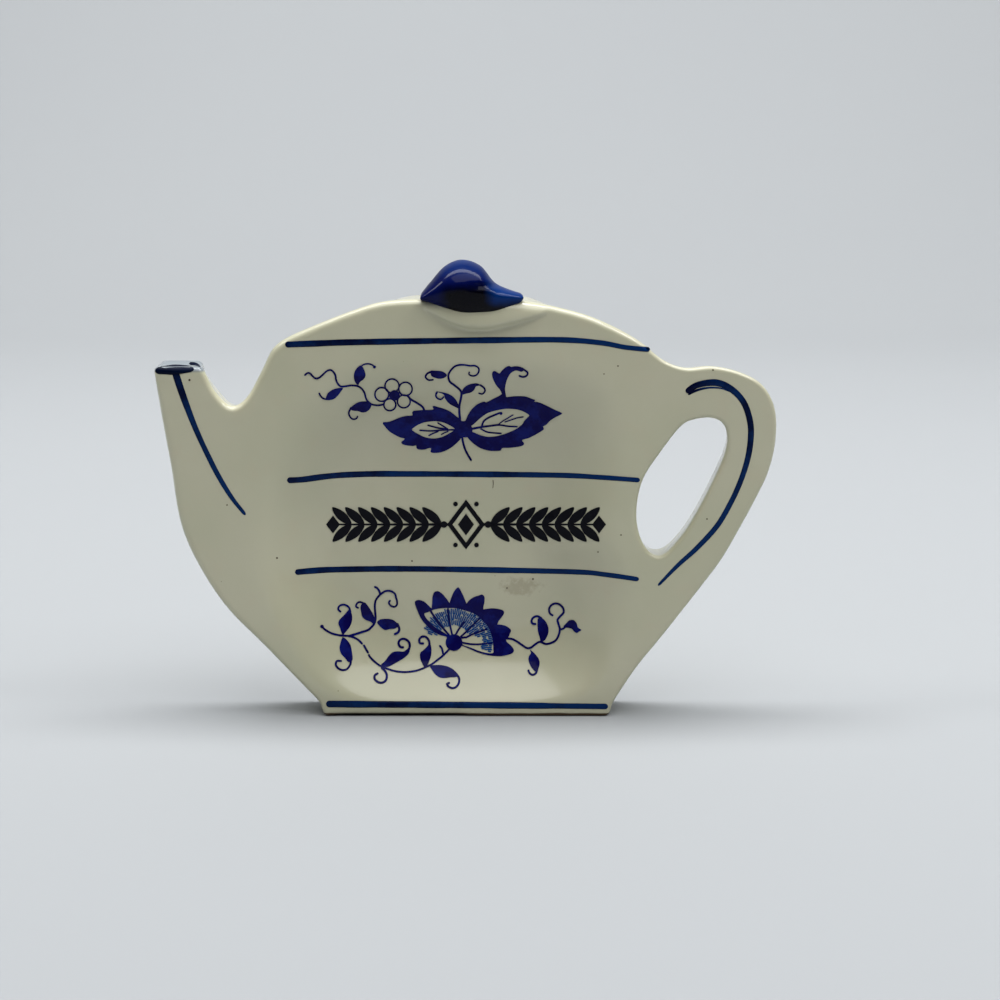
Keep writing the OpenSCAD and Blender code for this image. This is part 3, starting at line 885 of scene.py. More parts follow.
PETAL_PAINTED_LIGHT_STARTS = (4.0, 7.4)
PETAL_PAINTED_LIGHT_HEIGHTS = (79.8, 81.8)


def along_line(values, t):
    """The value at a share of the way along a smooth line through these values."""
    spans = len(values) - 1
    i = min(int(t * spans), spans - 1)
    a, b, c, d = (values[min(max(i + k, 0), spans)] for k in (-1, 0, 1, 2))
    return bend(a, b, c, d, t * spans - i)


def knob_section(t):
    """A closed ring round the knob at a share of its length, from its top towards the front."""
    crown = along_line([Vector(p) for p in CROWN_LINE], t)
    low = KNOB_SEAT - along_line(DROOP_LINE, t)
    depth = KNOB_DEPTH * along_line(KNOB_DEPTH_SHARES, t)
    near_end = min(1.0, t / KNOB_TIP_SHARE, (1 - t) / KNOB_TIP_SHARE)
    blunt = math.sqrt(max(0.0, 1 - (1 - near_end) ** 2))
    middle = FRONT * along_line(KNOB_MIDDLE_SHARES, t)
    wide = KNOB_SEAT + (crown.y - KNOB_SEAT) * KNOB_WIDEST_SHARE
    front_touch = FRONT + KNOB_SUNK
    bulge = min(middle - depth, FRONT - KNOB_LEAST_BULGE)
    back_touch = min(middle, BACK - KNOB_BACK_CLEAR)
    end_y = (middle - depth + min(middle, front_touch)) / 2
    end = Vector((crown.x, end_y, (crown.y + low) / 2))
    crease_along = step_up(crown.x, *CREASE_STARTS) * (1 - step_up(crown.x, *CREASE_ENDS))
    ring = []
    for i in range(KNOB_TURNS):
        turn = math.pi / 2 + 2 * math.pi * i / KNOB_TURNS
        up = math.sin(turn)
        out = math.cos(turn)
        if up >= 0:
            y = middle + depth * out
            z = wide + (crown.y - wide) * up
        elif out < 0:
            y = front_touch + (bulge - front_touch) * -out
            z = wide + (wide - low) * up
        else:
            y = back_touch + (middle + depth - back_touch) * out
            z = wide + (wide - KNOB_SEAT + KNOB_SUNK) * up
        crease = (z - CREASE_HEIGHT) / CREASE_HALF
        if out < 0 and abs(crease) < 1:
            y += CREASE_DEPTH * crease_along * (1 - crease ** 2) ** 2
        ring.append(tuple(end.lerp(Vector((crown.x, y, z)), blunt)))
    return ring


knob_places = []
knob_faces = []
for section in range(KNOB_SECTIONS + 1):
    knob_places += knob_section(section / KNOB_SECTIONS)
for section in range(KNOB_SECTIONS):
    for i in range(KNOB_TURNS):
        a = section * KNOB_TURNS + i
        b = section * KNOB_TURNS + (i + 1) % KNOB_TURNS
        knob_faces.append((a, a + KNOB_TURNS, b + KNOB_TURNS, b))
for first, way in ((0, 1), (KNOB_SECTIONS * KNOB_TURNS, -1)):
    cap = [first + i for i in range(KNOB_TURNS)][::way]
    tip = sum((Vector(knob_places[i]) for i in cap), Vector((0, 0, 0))) / KNOB_TURNS
    knob_places.append(tuple(tip - Vector((KNOB_TIP_OUT * way, 0, 0))))
    for i in range(KNOB_TURNS):
        knob_faces.append((cap[i], cap[(i + 1) % KNOB_TURNS], len(knob_places) - 1))

cobalt, cobalt_nodes = finish_tree("cobalt_glaze")
cobalt_place = cobalt_nodes.place()
cobalt_x = cobalt_nodes.axis(cobalt_place, 0) / MM
cobalt_z = cobalt_nodes.axis(cobalt_place, 2) / MM
cobalt_cloud = cobalt_nodes.noise(cobalt_place, COBALT_CLOUD, detail=3)
cobalt_side = cobalt_x + cobalt_cloud * SIDE_LIGHT_AND_SHADE_WAVER
cobalt_top_painted_light = cobalt_nodes.step(cobalt_z + cobalt_cloud * TOP_PAINTED_LIGHT_WAVER, *TOP_PAINTED_LIGHT_HEIGHTS)
cobalt_left_unshaded = 1.0 - cobalt_nodes.step(cobalt_side, *LEFT_UNSHADED_ENDS)
cobalt_crown_painted_light = cobalt_nodes.step(cobalt_z + cobalt_cloud * CROWN_PAINTED_LIGHT_WAVER, *CROWN_PAINTED_LIGHT_HEIGHTS)
cobalt_petal_painted_light = cobalt_nodes.step(cobalt_side, *PETAL_PAINTED_LIGHT_STARTS)
cobalt_petal_painted_light = cobalt_petal_painted_light * cobalt_nodes.step(cobalt_z + cobalt_cloud, *PETAL_PAINTED_LIGHT_HEIGHTS)
# Painted shade and light: the blue starts nearly black for the belly, painted light brightens the
# top, the crown and the petal, and the left end is kept out of the painted shade.
cobalt_tone = COBALT_PAINTED_SHADE
for share, colour in ((cobalt_top_painted_light, COBALT_TOP_PAINTED_LIGHT), (cobalt_left_unshaded, COBALT_LEFT_UNSHADED),
                      (cobalt_crown_painted_light, COBALT_CROWN_PAINTED_LIGHT), (cobalt_petal_painted_light, COBALT_PETAL_PAINTED_LIGHT)):
    cobalt_tone = cobalt_nodes.mix(share, cobalt_tone, colour)
close_finish(cobalt_nodes, {"Base Color": cobalt_tone, "Roughness": 0.4,
                            "Specular IOR Level": 0.02, "Coat Weight": 0.2,
                            "Coat Roughness": 0.03})
knob = make_piece("lid_knob", knob_places, knob_faces, cobalt)
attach(knob, "root")
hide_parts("knob")


# Painted lines.
# Four lines across the body and one stroke each on the spout and the handle, drawn with a
# loaded brush on the raw glaze: round where the brush is set down, thin where it is lifted.
COLOUR_LIFT = 0.03
COLOUR_THICK = 0.1
BRUSH_STEP = 0.3
BRUSH_SIDES = 12
BRUSH_END_LEAST = 0.04
BRUSH_WAVERS = ((0.02, 0.9, 1.0, 0.0), (0.03, 0.35, 0.0, 1.0))
RAY_LENGTH = 600.0
LINE_DEEP = paint(1, 5, 40)
LINE_PALE = paint(5, 42, 92)
LINE_PAINTED_SHADE = paint(0, 1, 14)
LINE_CLOUD = 5
LINE_DRYING = 0.35
LINE_SPECK = 0.7
LINE_SPECK_SHARE = 0.25
LINE_THIN_SPAN = (0.45, 0.95)
LINE_EDGE_SPAN = (0.1, 0.24)
LINE_EDGE_MOST = 0.6
# Painted shade: where the line runs over the top of the spout's mouth, it is darkened towards
# navy-black.
MOUTH_SHADE_HEIGHTS = (65.8, 67.0)
MOUTH_SHADE_ENDS = (-49, -47)
MOUTH_SHADE_MOST = 0.85
FIRED_COLOUR = {"Roughness": 0.5, "Specular IOR Level": 0.02, "Coat Roughness": 0.06}

TOP_LINE_PX = [(285, 344.6), (318, 343.4), (350, 342.3), (420, 341.1), (490, 340.2),
               (560, 339.8), (600, 342.7), (626, 347.4), (650, 349.6)]
UPPER_LINE_PX = [(287, 480.4), (303, 479.5), (320, 477.2), (340, 475.2), (370, 474), (400, 473.9),
                 (480, 474.3), (560, 475.3), (600, 477.3), (640, 480.2)]
LOWER_LINE_PX = [(295, 572.4), (312, 570.8), (335, 569.6), (400, 568.8), (480, 569.8),
                 (575, 571.9), (606, 574.7), (639, 579.4)]
BASE_LINE_PX = [(326, 704), (400, 704.5), (500, 705.3), (608, 706.5)]
MOUTH_LINE_PX = [(155.2, 371.6), (161, 370.4), (172.7, 369.8), (184, 369.2), (194, 369)]
MOUTH_BACK_PX = [(189, 363.6), (194.5, 363.8), (198.5, 365.4), (201, 368.6)]
SPOUT_STROKE_PX = [(175, 371), (178, 381), (185.6, 403), (196.6, 431), (208.2, 456),
                   (219, 477), (231.3, 497), (245.5, 515)]
HANDLE_STROKE_PX = [(686, 392.5), (697.5, 385), (716.5, 382.7), (732, 389.6), (744, 403),
                    (750.2, 422), (750.6, 440), (747.4, 460), (740.6, 481), (730.6, 503),
                    (717, 526), (697, 548), (678.2, 565), (658, 585.6)]
HANDLE_SECOND_PX = [(688, 394.8), (694, 391.5), (702, 388.8), (712, 387.6), (722, 388.6),
                    (731, 392.5)]
LINE_WIDTH_SHARES = [1, 1.05, 1, 1, 1, 0.95, 0.85, 0.85]
MOUTH_WIDTH_SHARES = [0.7, 0.85, 1, 0.85, 0.6]
STROKE_WIDTH_SHARES = [0.9, 1, 1, 0.85, 0.7, 0.5, 0.15]
SPOUT_WIDTH_SHARES = [0.95, 0.93, 0.82, 0.72, 0.69, 0.64, 0.5]
HANDLE_WIDTH_SHARES = [0.95, 1.1, 1.05, 1, 0.95, 0.9, 0.86, 0.86, 0.75, 0.45]


def spot(pixel):
    """The place (x, z) in the plane of the front at which the eye sees a picture point."""
    place = eye + sight_line(pixel) * (FRONT - eye.y)
    return Vector((place.x, place.z))


def laying_tree(name, inputs):
    """An empty Geometry Nodes tree for something laid on the glaze, and its inputs."""
    tree = bpy.data.node_groups.new(name, "GeometryNodeTree")
    nodes = Nodes(tree)
    tree.interface.new_socket("Geometry", in_out="INPUT", socket_type="NodeSocketGeometry")
    tree.interface.new_socket("Geometry", in_out="OUTPUT", socket_type="NodeSocketGeometry")
    common = {"Glaze": "Object", "Lift": "Float", "Finish": "Material"}
    for label, kind in {**inputs, **common}.items():
        tree.interface.new_socket(label, in_out="INPUT", socket_type="NodeSocket" + kind)
    entry = tree.nodes.new("NodeGroupInput")
    given = {socket.name: Value(nodes, socket) for socket in entry.outputs if socket.name}
    return nodes, given


def lay_on_glaze(nodes, given, flat):
    """Ends a tree: flat painting is stood up in the plane of the front and moved on to the
    glaze along the eye's sight lines. Its thickness stays its height above the glaze.
    """
    stood = nodes.node("GeometryNodeTransform", {},
                       {"Geometry": flat, "Rotation": (math.pi / 2, 0, 0)})
    solid = nodes.node("GeometryNodeObjectInfo", {"transform_space": "RELATIVE"},
                       {"Object": given["Glaze"]}, "Geometry")
    place = nodes.node("GeometryNodeInputPosition")
    seen = nodes.node("ShaderNodeCombineXYZ", {},
                      {0: nodes.axis(place, 0), 1: FRONT * MM, 2: nodes.axis(place, 2)})
    sight = nodes.node("ShaderNodeVectorMath", {"operation": "SUBTRACT"}, {0: seen, 1: eye * MM})
    source = nodes.node("ShaderNodeCombineXYZ", {}, {0: eye.x * MM, 1: eye.y * MM, 2: eye.z * MM})
    ray = {"Target Geometry": solid, "Source Position": source, "Ray Direction": sight,
           "Ray Length": RAY_LENGTH * MM}
    met = nodes.node("GeometryNodeRaycast", {}, ray, "Hit Position")
    hit = nodes.node("GeometryNodeRaycast", {}, ray, "Is Hit")
    way = nodes.node("ShaderNodeVectorMath", {"operation": "NORMALIZE"}, {0: sight})
    deeper = nodes.node("ShaderNodeVectorMath", {"operation": "SCALE"},
                        {0: way, "Scale": nodes.axis(place, 1) - given["Lift"]})
    laid = nodes.node("ShaderNodeVectorMath", {"operation": "ADD"}, {0: met, 1: deeper})
    kept = nodes.node("GeometryNodeSwitch", {"input_type": "VECTOR"},
                      {"Switch": hit, "False": seen, "True": laid})
    moved = nodes.node("GeometryNodeSetPosition", {}, {"Geometry": stood, "Position": kept})
    real = nodes.node("GeometryNodeRealizeInstances", {}, {"Geometry": moved})
    painted = nodes.node("GeometryNodeSetMaterial", {},
                         {"Geometry": real, "Material": given["Finish"]})
    nodes.node("NodeGroupOutput", {}, {0: painted})


def laid_piece(source, nodes, finish, values, lift=COLOUR_LIFT):
    """The plain mesh that a tree makes of a source object, which is then taken away."""
    values = {"Glaze": ware, "Lift": lift * MM, "Finish": finish, **values}
    modifier = source.modifiers.new("laying", "NODES")
    modifier.node_group = nodes.tree
    for item in nodes.tree.interface.items_tree:
        if item.in_out == "INPUT" and item.name in values:
            modifier[item.identifier] = values[item.name]
    bpy.context.view_layer.update()
    evaluated = source.evaluated_get(bpy.context.evaluated_depsgraph_get())
    mesh = bpy.data.meshes.new_from_object(evaluated)
    name = source.name
    bpy.data.objects.remove(source)
    mesh.name = name
    return linked(name, mesh)


def marked(nodes, geometry, name, value):
    """Geometry with a number stored at each of its points."""
    return nodes.node("GeometryNodeStoreNamedAttribute",
                      {"data_type": "FLOAT", "domain": "POINT"},
                      {"Geometry": geometry, "Name": name, "Value": value})


brush, brush_in = laying_tree("brush_line_on_glaze", {"Thickness": "Float"})
brush_share = brush.node("GeometryNodeSplineParameter")
brush_path = marked(brush, brush_in["Geometry"], "along", brush_share)
brush_path = brush.node("GeometryNodeSetCurveNormal", {"mode": "Z_UP"}, {"Curve": brush_path})
bristles = brush.node("GeometryNodeCurvePrimitiveCircle", {},
                      {"Resolution": BRUSH_SIDES, "Radius": 0.5}, "Curve")
bristles_x = brush.axis(brush.node("GeometryNodeInputPosition"), 0)
bristles = marked(brush, bristles, "across", bristles_x)
flat_scale = brush.node("ShaderNodeCombineXYZ", {}, {0: 1.0, 1: brush_in["Thickness"], 2: 1.0})
bristles = brush.node("GeometryNodeTransform", {}, {"Geometry": bristles, "Scale": flat_scale})
swept = brush.node("GeometryNodeCurveToMesh", {},
                   {"Curve": brush_path, "Profile Curve": bristles, "Fill Caps": True,
                    "Scale": brush.node("GeometryNodeInputRadius")})
lay_on_glaze(brush, brush_in, swept)

blue_line, line_nodes = finish_tree("blue_brush_line")
line_place = line_nodes.place()
line_x = line_nodes.axis(line_place, 0) / MM
line_z = line_nodes.axis(line_place, 2) / MM
line_along, line_across = (
    line_nodes.node("ShaderNodeAttribute", {"attribute_name": name}, {}, 2)
    for name in ("along", "across"))
line_cloud = line_nodes.noise(line_place, LINE_CLOUD, detail=3)
line_speck = line_nodes.noise(line_place, LINE_SPECK, detail=2)
line_thin = line_cloud + line_along * LINE_DRYING + line_speck * LINE_SPECK_SHARE
line_thin = line_nodes.step(line_thin, *LINE_THIN_SPAN)
line_edge = line_nodes.step(line_across * line_across, *LINE_EDGE_SPAN)
# Painted shade: the line on the top of the spout's mouth is darkened towards navy-black.
line_mouth_shade = line_nodes.step(line_z, *MOUTH_SHADE_HEIGHTS) * (1.0 - line_nodes.step(line_x, *MOUTH_SHADE_ENDS))
line_tone = line_nodes.mix(line_thin, LINE_DEEP, LINE_PALE)
line_tone = line_nodes.mix(line_edge * LINE_EDGE_MOST, line_tone, LINE_DEEP)
line_tone = line_nodes.mix(line_mouth_shade * MOUTH_SHADE_MOST, line_tone, LINE_PAINTED_SHADE)
close_finish(line_nodes, {**FIRED_COLOUR, "Base Color": line_tone, "Coat Weight": 0.08})


def straight_curve(name, lines):
    """A flat curve of straight steps through places (x, y), or (x, y, radius)."""
    data = bpy.data.curves.new(name, "CURVE")
    data.dimensions = "3D"
    for line in lines:
        spline = data.splines.new("POLY")
        spline.points.add(len(line) - 1)
        for point, (x, y, *radius) in zip(spline.points, line):
            point.co = (x * MM, y * MM, 0, 1)
            if radius:
                point.radius = radius[0] * MM
    return linked(name, data)


def brush_curve(name, pixels, width_px, width_shares):
    """A curve through picture points, whose radius is the width of the brush mark."""
    line = smooth_line([spot(p) for p in pixels], BRUSH_STEP)
    whole = (spot((pixels[0][0] + width_px, pixels[0][1])) - spot(pixels[0])).length
    length = sum((b - a).length for a, b in zip(line, line[1:]))
    run = 0.0
    drawn = []
    for place, ahead in zip(line, line[1:] + line[-1:]):
        near_end = min(1.0, min(run, length - run) / (whole / 2))
        round_end = math.sqrt(max(BRUSH_END_LEAST, 1 - (1 - near_end) ** 2))
        waver = 1.0
        for height, speed, per_y, start in BRUSH_WAVERS:
            waver += height * math.sin(speed * run + per_y * place.y + start)
        share = along_line(width_shares, min(1.0, run / length)) * round_end * waver
        drawn.append((place.x, place.y, whole * share))
        run += (ahead - place).length
    return straight_curve(name, [drawn])


for name, pixels, width_px, shares, node in (
        ("top_line", TOP_LINE_PX, 6.1, LINE_WIDTH_SHARES, "top_band"),
        ("upper_line", UPPER_LINE_PX, 5.9, LINE_WIDTH_SHARES, "upper_belt_band"),
        ("lower_line", LOWER_LINE_PX, 5.9, LINE_WIDTH_SHARES, "lower_belt_band"),
        ("base_line", BASE_LINE_PX, 6.8, LINE_WIDTH_SHARES, "base_band"),
        ("mouth_line", MOUTH_LINE_PX, 10, MOUTH_WIDTH_SHARES, "spout_lip_band"),
        ("mouth_back_line", MOUTH_BACK_PX, 3.2, STROKE_WIDTH_SHARES, None),
        ("spout_stroke_line", SPOUT_STROKE_PX, 7.5, SPOUT_WIDTH_SHARES, "spout_stroke"),
        ("handle_stroke_line", HANDLE_STROKE_PX, 6.1, HANDLE_WIDTH_SHARES, "handle_stroke"),
        ("handle_second_line", HANDLE_SECOND_PX, 2.4, STROKE_WIDTH_SHARES, None)):
    drawn = laid_piece(brush_curve(name, pixels, width_px, shares), brush, blue_line,
                       {"Thickness": COLOUR_THICK})
    drawn.data.shade_smooth()
    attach(drawn, "root")
    if node:
        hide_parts(node)


# Upper spray.
# A blue sprig in an old blue-and-white manner: two toothed leaves with pale middles, a stem
# with small leaves, and a vine with a five-petalled flower. It is painted under the glaze coat.
PAINT_THICK = 0.06
PAINT_GRID = 0.8
PLATE_LIMIT = 1e-4
STROKE_STEP_PX = 1.2
CAP_SIDES = 7
DISC_LEAST_SIDES = 10
DISC_SIDES_PER_PX = 4
SPRIG_DEEP = paint(8, 5, 74)
SPRIG_PALE = paint(14, 24, 102)
SPRIG_CLOUD = 3.2
SPRIG_GRAIN = 0.6
SPRIG_GRAIN_SHARE = 0.3
SPRIG_PALE_SPAN = (0.55, 0.85)

UPPER_LEAVES_PX = [
    [(461.5, 421.5), (465, 421), (468, 415), (472, 409), (478, 404), (484.5, 401.5),
     (486, 402.5), (493, 399), (500, 395.5), (502, 394), (506, 397), (515, 396.3),
     (525, 396.5), (532, 399), (535.5, 400.2), (534, 401.5), (540, 402.8), (547, 406),
     (555, 410), (562, 413.5), (556, 417), (550.5, 420.5), (546, 425), (543, 426.5),
     (544, 429), (541, 431.5), (535, 435), (529, 438), (524.5, 439.2), (522, 440.5),
     (524, 443), (523, 445.5), (517, 447), (510, 447.8), (502, 448.2), (501, 450.5),
     (495, 451), (488, 450.5), (480, 448), (474, 444), (470, 440.5), (467, 437),
     (464.5, 436.5), (460.5, 437), (458.5, 429)],
    [(456.5, 416.5), (450, 411.5), (443, 408.5), (438, 407.2), (434, 406), (432.5, 407),
     (433.5, 409.5), (430, 410), (424, 410), (418, 410.5), (413.5, 411), (412, 413),
     (412.5, 415.5), (406, 416), (400, 417.5), (394, 420), (388, 422), (383, 422.3),
     (382.8, 423.8), (386, 428), (390, 432), (395, 435), (400, 437.5), (404.5, 438.5),
     (404, 440), (401.5, 441.5), (402, 444), (407, 445.5), (413, 446), (416, 445.5),
     (416.3, 447.5), (418, 449.3), (424, 449.7), (430, 448), (431, 449.5), (430.5, 452),
     (434, 453), (441, 452.3), (448, 449.5), (454, 445.5), (459, 440.8), (460.5, 439),
     (466, 430), (461, 420)],
    [(447, 375.2), (443, 371.8), (437, 370.8), (431, 371.2), (431, 375.5), (434, 377.5),
     (439, 378.8), (444, 378)],
    [(461.5, 393.5), (463, 389), (467, 385.5), (472, 383.8), (477, 383.5), (480.5, 385.3),
     (476, 386.5), (474.5, 389.5), (471, 392.5), (466, 393.8), (461.5, 395)],
    [(459, 407.5), (457.5, 402.5), (454, 397.5), (448.5, 394), (442, 392.3), (437.5, 392),
     (443.5, 394.5), (445, 398.5), (449, 403.5), (454, 406.5), (458.5, 408.5)],
    [(503.5, 397), (500, 390), (496, 385), (493, 379), (492, 374), (493, 371.5), (495, 371),
     (497.5, 372.5), (499.5, 373.5), (502, 370.5), (506, 367), (509.5, 366), (511, 367),
     (515, 366.3), (520, 366.8), (524.5, 369.2), (521.5, 371.8), (516, 370.5), (511, 373),
     (508, 377.5), (506, 383), (505, 389), (505.5, 393), (506, 397)],
    [(358, 385), (355, 382), (353.8, 377), (354.5, 372), (357, 368), (360.5, 365.5),
     (363, 367.5), (365, 372), (365.5, 376), (363.5, 379.5), (360, 382)],
    [(343, 388.3), (341, 391.5), (338, 395.5), (334, 399), (330, 400), (326, 399.3),
     (326.5, 396), (328, 393), (332, 390), (336, 388.5), (340, 388)],
    [(371.5, 405), (369, 401.8), (363, 401.5), (358, 402.5), (353, 405.5), (350, 409),
     (353.5, 410.8), (358, 411.2), (362, 412.5), (366, 412), (369.5, 409.5), (371.5, 406)]]
UPPER_WINDOWS_PX = [
    [(468.5, 428.3), (474, 424), (480, 418.5), (487, 413.5), (495, 410.8), (505, 409),
     (515, 409.3), (522, 411), (528, 414.3), (529, 416), (525, 420), (522, 424.5),
     (517, 428.5), (511, 431.5), (503, 434.5), (495, 436.5), (487, 436.8), (480, 435),
     (474, 432.5), (470, 431)],
    [(412, 429.3), (417, 425.5), (423, 422.8), (430, 421.5), (436, 421.3), (443, 422.5),
     (449, 425), (454.5, 428.5), (454.5, 430), (449, 433.5), (442, 437), (434, 438.5),
     (426, 437.5), (419, 434.5), (414, 431.5)]]
UPPER_STROKES_PX = [
    (2.3, 1.5, [(469, 429.5), (475, 428.3), (482, 427), (490, 426), (499, 425), (508, 426.3),
                (517, 426.8)]),
    (2, 2, [(482, 425.5), (484, 421), (489, 417.5), (494, 415.3), (500, 413), (501.5, 413.5)]),
    (1.2, 1.2, [(499, 424), (503, 421), (508, 418), (513, 415)]),
    (1.3, 1.3, [(505, 422), (511, 420), (517, 418), (523, 417)]),
    (1.6, 1.6, [(481, 429), (487, 432), (494, 433), (501, 433.5)]),
    (1.6, 1.6, [(456, 429.8), (448, 430), (440, 430.3), (430, 431), (420, 430.3)]),
    (1.6, 1.6, [(447, 429), (438, 428), (428, 425.3)]),
    (1.6, 1.6, [(447.5, 429), (443, 426), (438, 423)]),
    (1.5, 1.5, [(438, 431.5), (433, 433.5), (429, 435.5)]),
    (1.3, 1.3, [(448, 431.5), (444, 433), (441.5, 434.5)]),
    (2.5, 1.6, [(460, 419), (459.3, 412), (459.5, 405), (461, 398), (461.5, 393),
                (459.5, 389.5), (454, 385), (450, 382), (448.5, 378), (448.5, 375),
                (450, 371.5), (454, 367), (459, 365), (465, 365), (470, 365.8),
                (475, 365.8), (478.5, 368), (478.8, 371.5), (476.5, 375), (472.5, 376),
                (469, 374.5), (469.3, 372.3)]),
    (2.2, 2.2, [(462, 436), (463, 442), (465, 449), (468, 455), (471, 460)]),
    (2.2, 1.6, [(432, 371.5), (427.5, 373.5), (425.5, 377), (428.5, 380), (433, 379.8)]),
    (2, 1.6, [(480.5, 385.3), (484, 388), (485, 391), (482.5, 394), (479, 393.3)]),
    (2, 1.6, [(437, 392.3), (435.8, 395.5), (437.5, 398.3), (441, 399.5), (443.5, 397)]),
    (2, 2, [(522, 368.5), (527.5, 372.5), (526.5, 375.8), (523, 377), (519.5, 376)]),
    (2.2, 2.2, [(407.5, 395.4), (411, 399.5), (417, 403), (422, 406.5), (424, 409.5)]),
    (1.9, 1.9, [(383, 404.5), (378, 405.5), (372, 404.5), (368.5, 402), (366, 398.5),
                (364.5, 393), (361.5, 388.5), (357, 386), (351, 385.5), (346, 386.3),
                (341, 386.5), (338, 384), (336, 379.5), (335.5, 375.5), (333, 371.5),
                (330, 370), (326.5, 371.3), (322.5, 375), (319, 377.8), (315.5, 378.5),
                (312.5, 376), (310, 373.3), (307.5, 373), (305, 375)]),
    (1.6, 1.6, [(361, 366.5), (364, 364.5), (368, 363.8), (372, 364.8), (374.5, 367)]),
    (1.8, 1.8, [(329, 399.5), (324, 398.8), (321, 396.5), (319.3, 393.5)]),
    (2, 1.6, [(351, 408), (348.8, 413), (350.5, 417.5), (353.5, 419.3), (356.5, 418.5),
              (357.5, 416.5)])]
UPPER_DOTS_PX = [(394.5, 395.5, 5.3), (501, 413.5, 1.6), (374.5, 367, 1.6), (465, 430, 7.5)]
UPPER_RINGS_PX = [(392, 386, 7.0), (405.5, 389, 6.7), (403.8, 401.5, 6.4), (389.8, 404.8, 6.0),
                  (381.8, 394.5, 6.9)]
PETAL_LINE_PX = 1.65


def px_line(pixels, closed=False):
    """A smooth line through picture points, in the picture."""
    return smooth_line(pixels, STROKE_STEP_PX, closed)


def stroke_shapes(pixels, start_width, end_width):
    """A brush stroke with round ends, as small flat shapes in the picture."""
    line = px_line(pixels)
    sides = []
    for i, p in enumerate(line):
        way = (line[min(i + 1, len(line) - 1)] - line[max(i - 1, 0)]).normalized()
        half = (start_width + (end_width - start_width) * i / (len(line) - 1)) / 2
        across = Vector((-way.y, way.x)) * half
        sides.append((p + across, p - across, way * half, across))
    shapes = [[a[0], a[1], b[1], b[0]] for a, b in zip(sides, sides[1:])]
    for p, side, way in ((line[0], sides[0], -1), (line[-1], sides[-1], 1)):
        cap = []
        for i in range(CAP_SIDES + 1):
            turn = math.pi * i / CAP_SIDES
            cap.append(p + side[3] * math.cos(turn) + side[2] * (way * math.sin(turn)))
        shapes.append(cap)
    return shapes


def disc(x, y, radius):
    """A round dot as one flat shape in the picture."""
    sides = max(DISC_LEAST_SIDES, round(radius * DISC_SIDES_PER_PX))
    turns = [2 * math.pi * i / sides for i in range(sides)]
    return [Vector((x + radius * math.cos(t), y + radius * math.sin(t))) for t in turns]


def ring_shapes(x, y, radius, width):
    """A round line as small flat shapes in the picture."""
    outer = disc(x, y, radius + width / 2)
    middle = Vector((x, y))
    inner = [middle + (p - middle) * ((radius - width / 2) / (radius + width / 2)) for p in outer]
    return [[outer[i - 1], outer[i], inner[i], inner[i - 1]] for i in range(len(outer))]


def closed_plate(name, tops, faces):
    """A thin closed plate of colour that lies flat, from its upper places and faces."""
    count = len(tops)
    places = [(x, y, thick) for thick in (PAINT_THICK, 0) for x, y in tops]
    skin = []
    edges = {}
    for face in faces:
        skin.append(face)
        skin.append([i + count for i in reversed(face)])
        edges.update(dict.fromkeys(zip(face, face[1:] + face[:1])))
    for a, b in edges:
        if (b, a) not in edges:
            skin.append((a, a + count, b + count, b))
    return linked(name, mesh_of(name, places, skin))


def painted_plate(name, bodies, windows, over):
    """A plate of colour from shapes in the picture: the bodies but for their windows, and
    what is painted over both.
    """
    points = []
    outlines = []
    for shape in bodies + windows + over:
        placed = [spot(p) for p in shape]
        area = sum(a.x * b.y - b.x * a.y for a, b in zip(placed, placed[1:] + placed[:1]))
        if area < 0:
            placed.reverse()
        outlines.append(list(range(len(points), len(points) + len(placed))))
        points += placed
    low_x, high_x = min(p.x for p in points), max(p.x for p in points)
    low_y, high_y = min(p.y for p in points), max(p.y for p in points)
    for j in range(int((high_y - low_y) / PAINT_GRID) + 1):
        for i in range(int((high_x - low_x) / PAINT_GRID) + 1):
            points.append(Vector((low_x + i * PAINT_GRID, low_y + j * PAINT_GRID)))
    flat, _, cut, _, _, sources = delaunay_2d_cdt(points, [], outlines, 0, PLATE_LIMIT)
    first_window = len(bodies)
    first_over = first_window + len(windows)
    kept = []
    for face, source in zip(cut, sources):
        in_body = any(k < first_window for k in source)
        in_window = any(first_window <= k < first_over for k in source)
        on_top = any(k >= first_over for k in source)
        if on_top or (in_body and not in_window):
            kept.append(face)
    used = sorted({i for face in kept for i in face})
    index_of = {i: k for k, i in enumerate(used)}
    return closed_plate(name, [flat[i] for i in used], [[index_of[i] for i in f] for f in kept])


plate, plate_in = laying_tree("plate_of_colour_on_glaze", {})
lay_on_glaze(plate, plate_in, plate_in["Geometry"])

sprig_blue, sprig_nodes = finish_tree("sprig_blue")
sprig_cloud = sprig_nodes.noise(sprig_nodes.place(), SPRIG_CLOUD, detail=3)
sprig_grain = sprig_nodes.noise(sprig_nodes.place(), SPRIG_GRAIN, detail=2)
sprig_pale = sprig_cloud + sprig_grain * SPRIG_GRAIN_SHARE
sprig_pale = sprig_nodes.step(sprig_pale, *SPRIG_PALE_SPAN)
sprig_tone = sprig_nodes.mix(sprig_pale, SPRIG_DEEP, SPRIG_PALE)
close_finish(sprig_nodes, {**FIRED_COLOUR, "Base Color": sprig_tone, "Coat Weight": 0.12})


def lay_plate(flat, finish):
    """Lays a flat plate of colour on the glaze and hands it in as a blue line."""
    piece = laid_piece(flat, plate, finish, {})
    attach(piece, "root")


def sprig(name, leaves, windows, dots, rings, strokes):
    """A spray from the shapes in the picture that are given for it."""
    over = [disc(*dot) for dot in dots]
    for ring in rings:
        over += ring_shapes(*ring, PETAL_LINE_PX)
    for start_width, end_width, pixels in strokes:
        over += stroke_shapes(pixels, start_width, end_width)
    lay_plate(painted_plate(name, leaves, windows, over), sprig_blue)


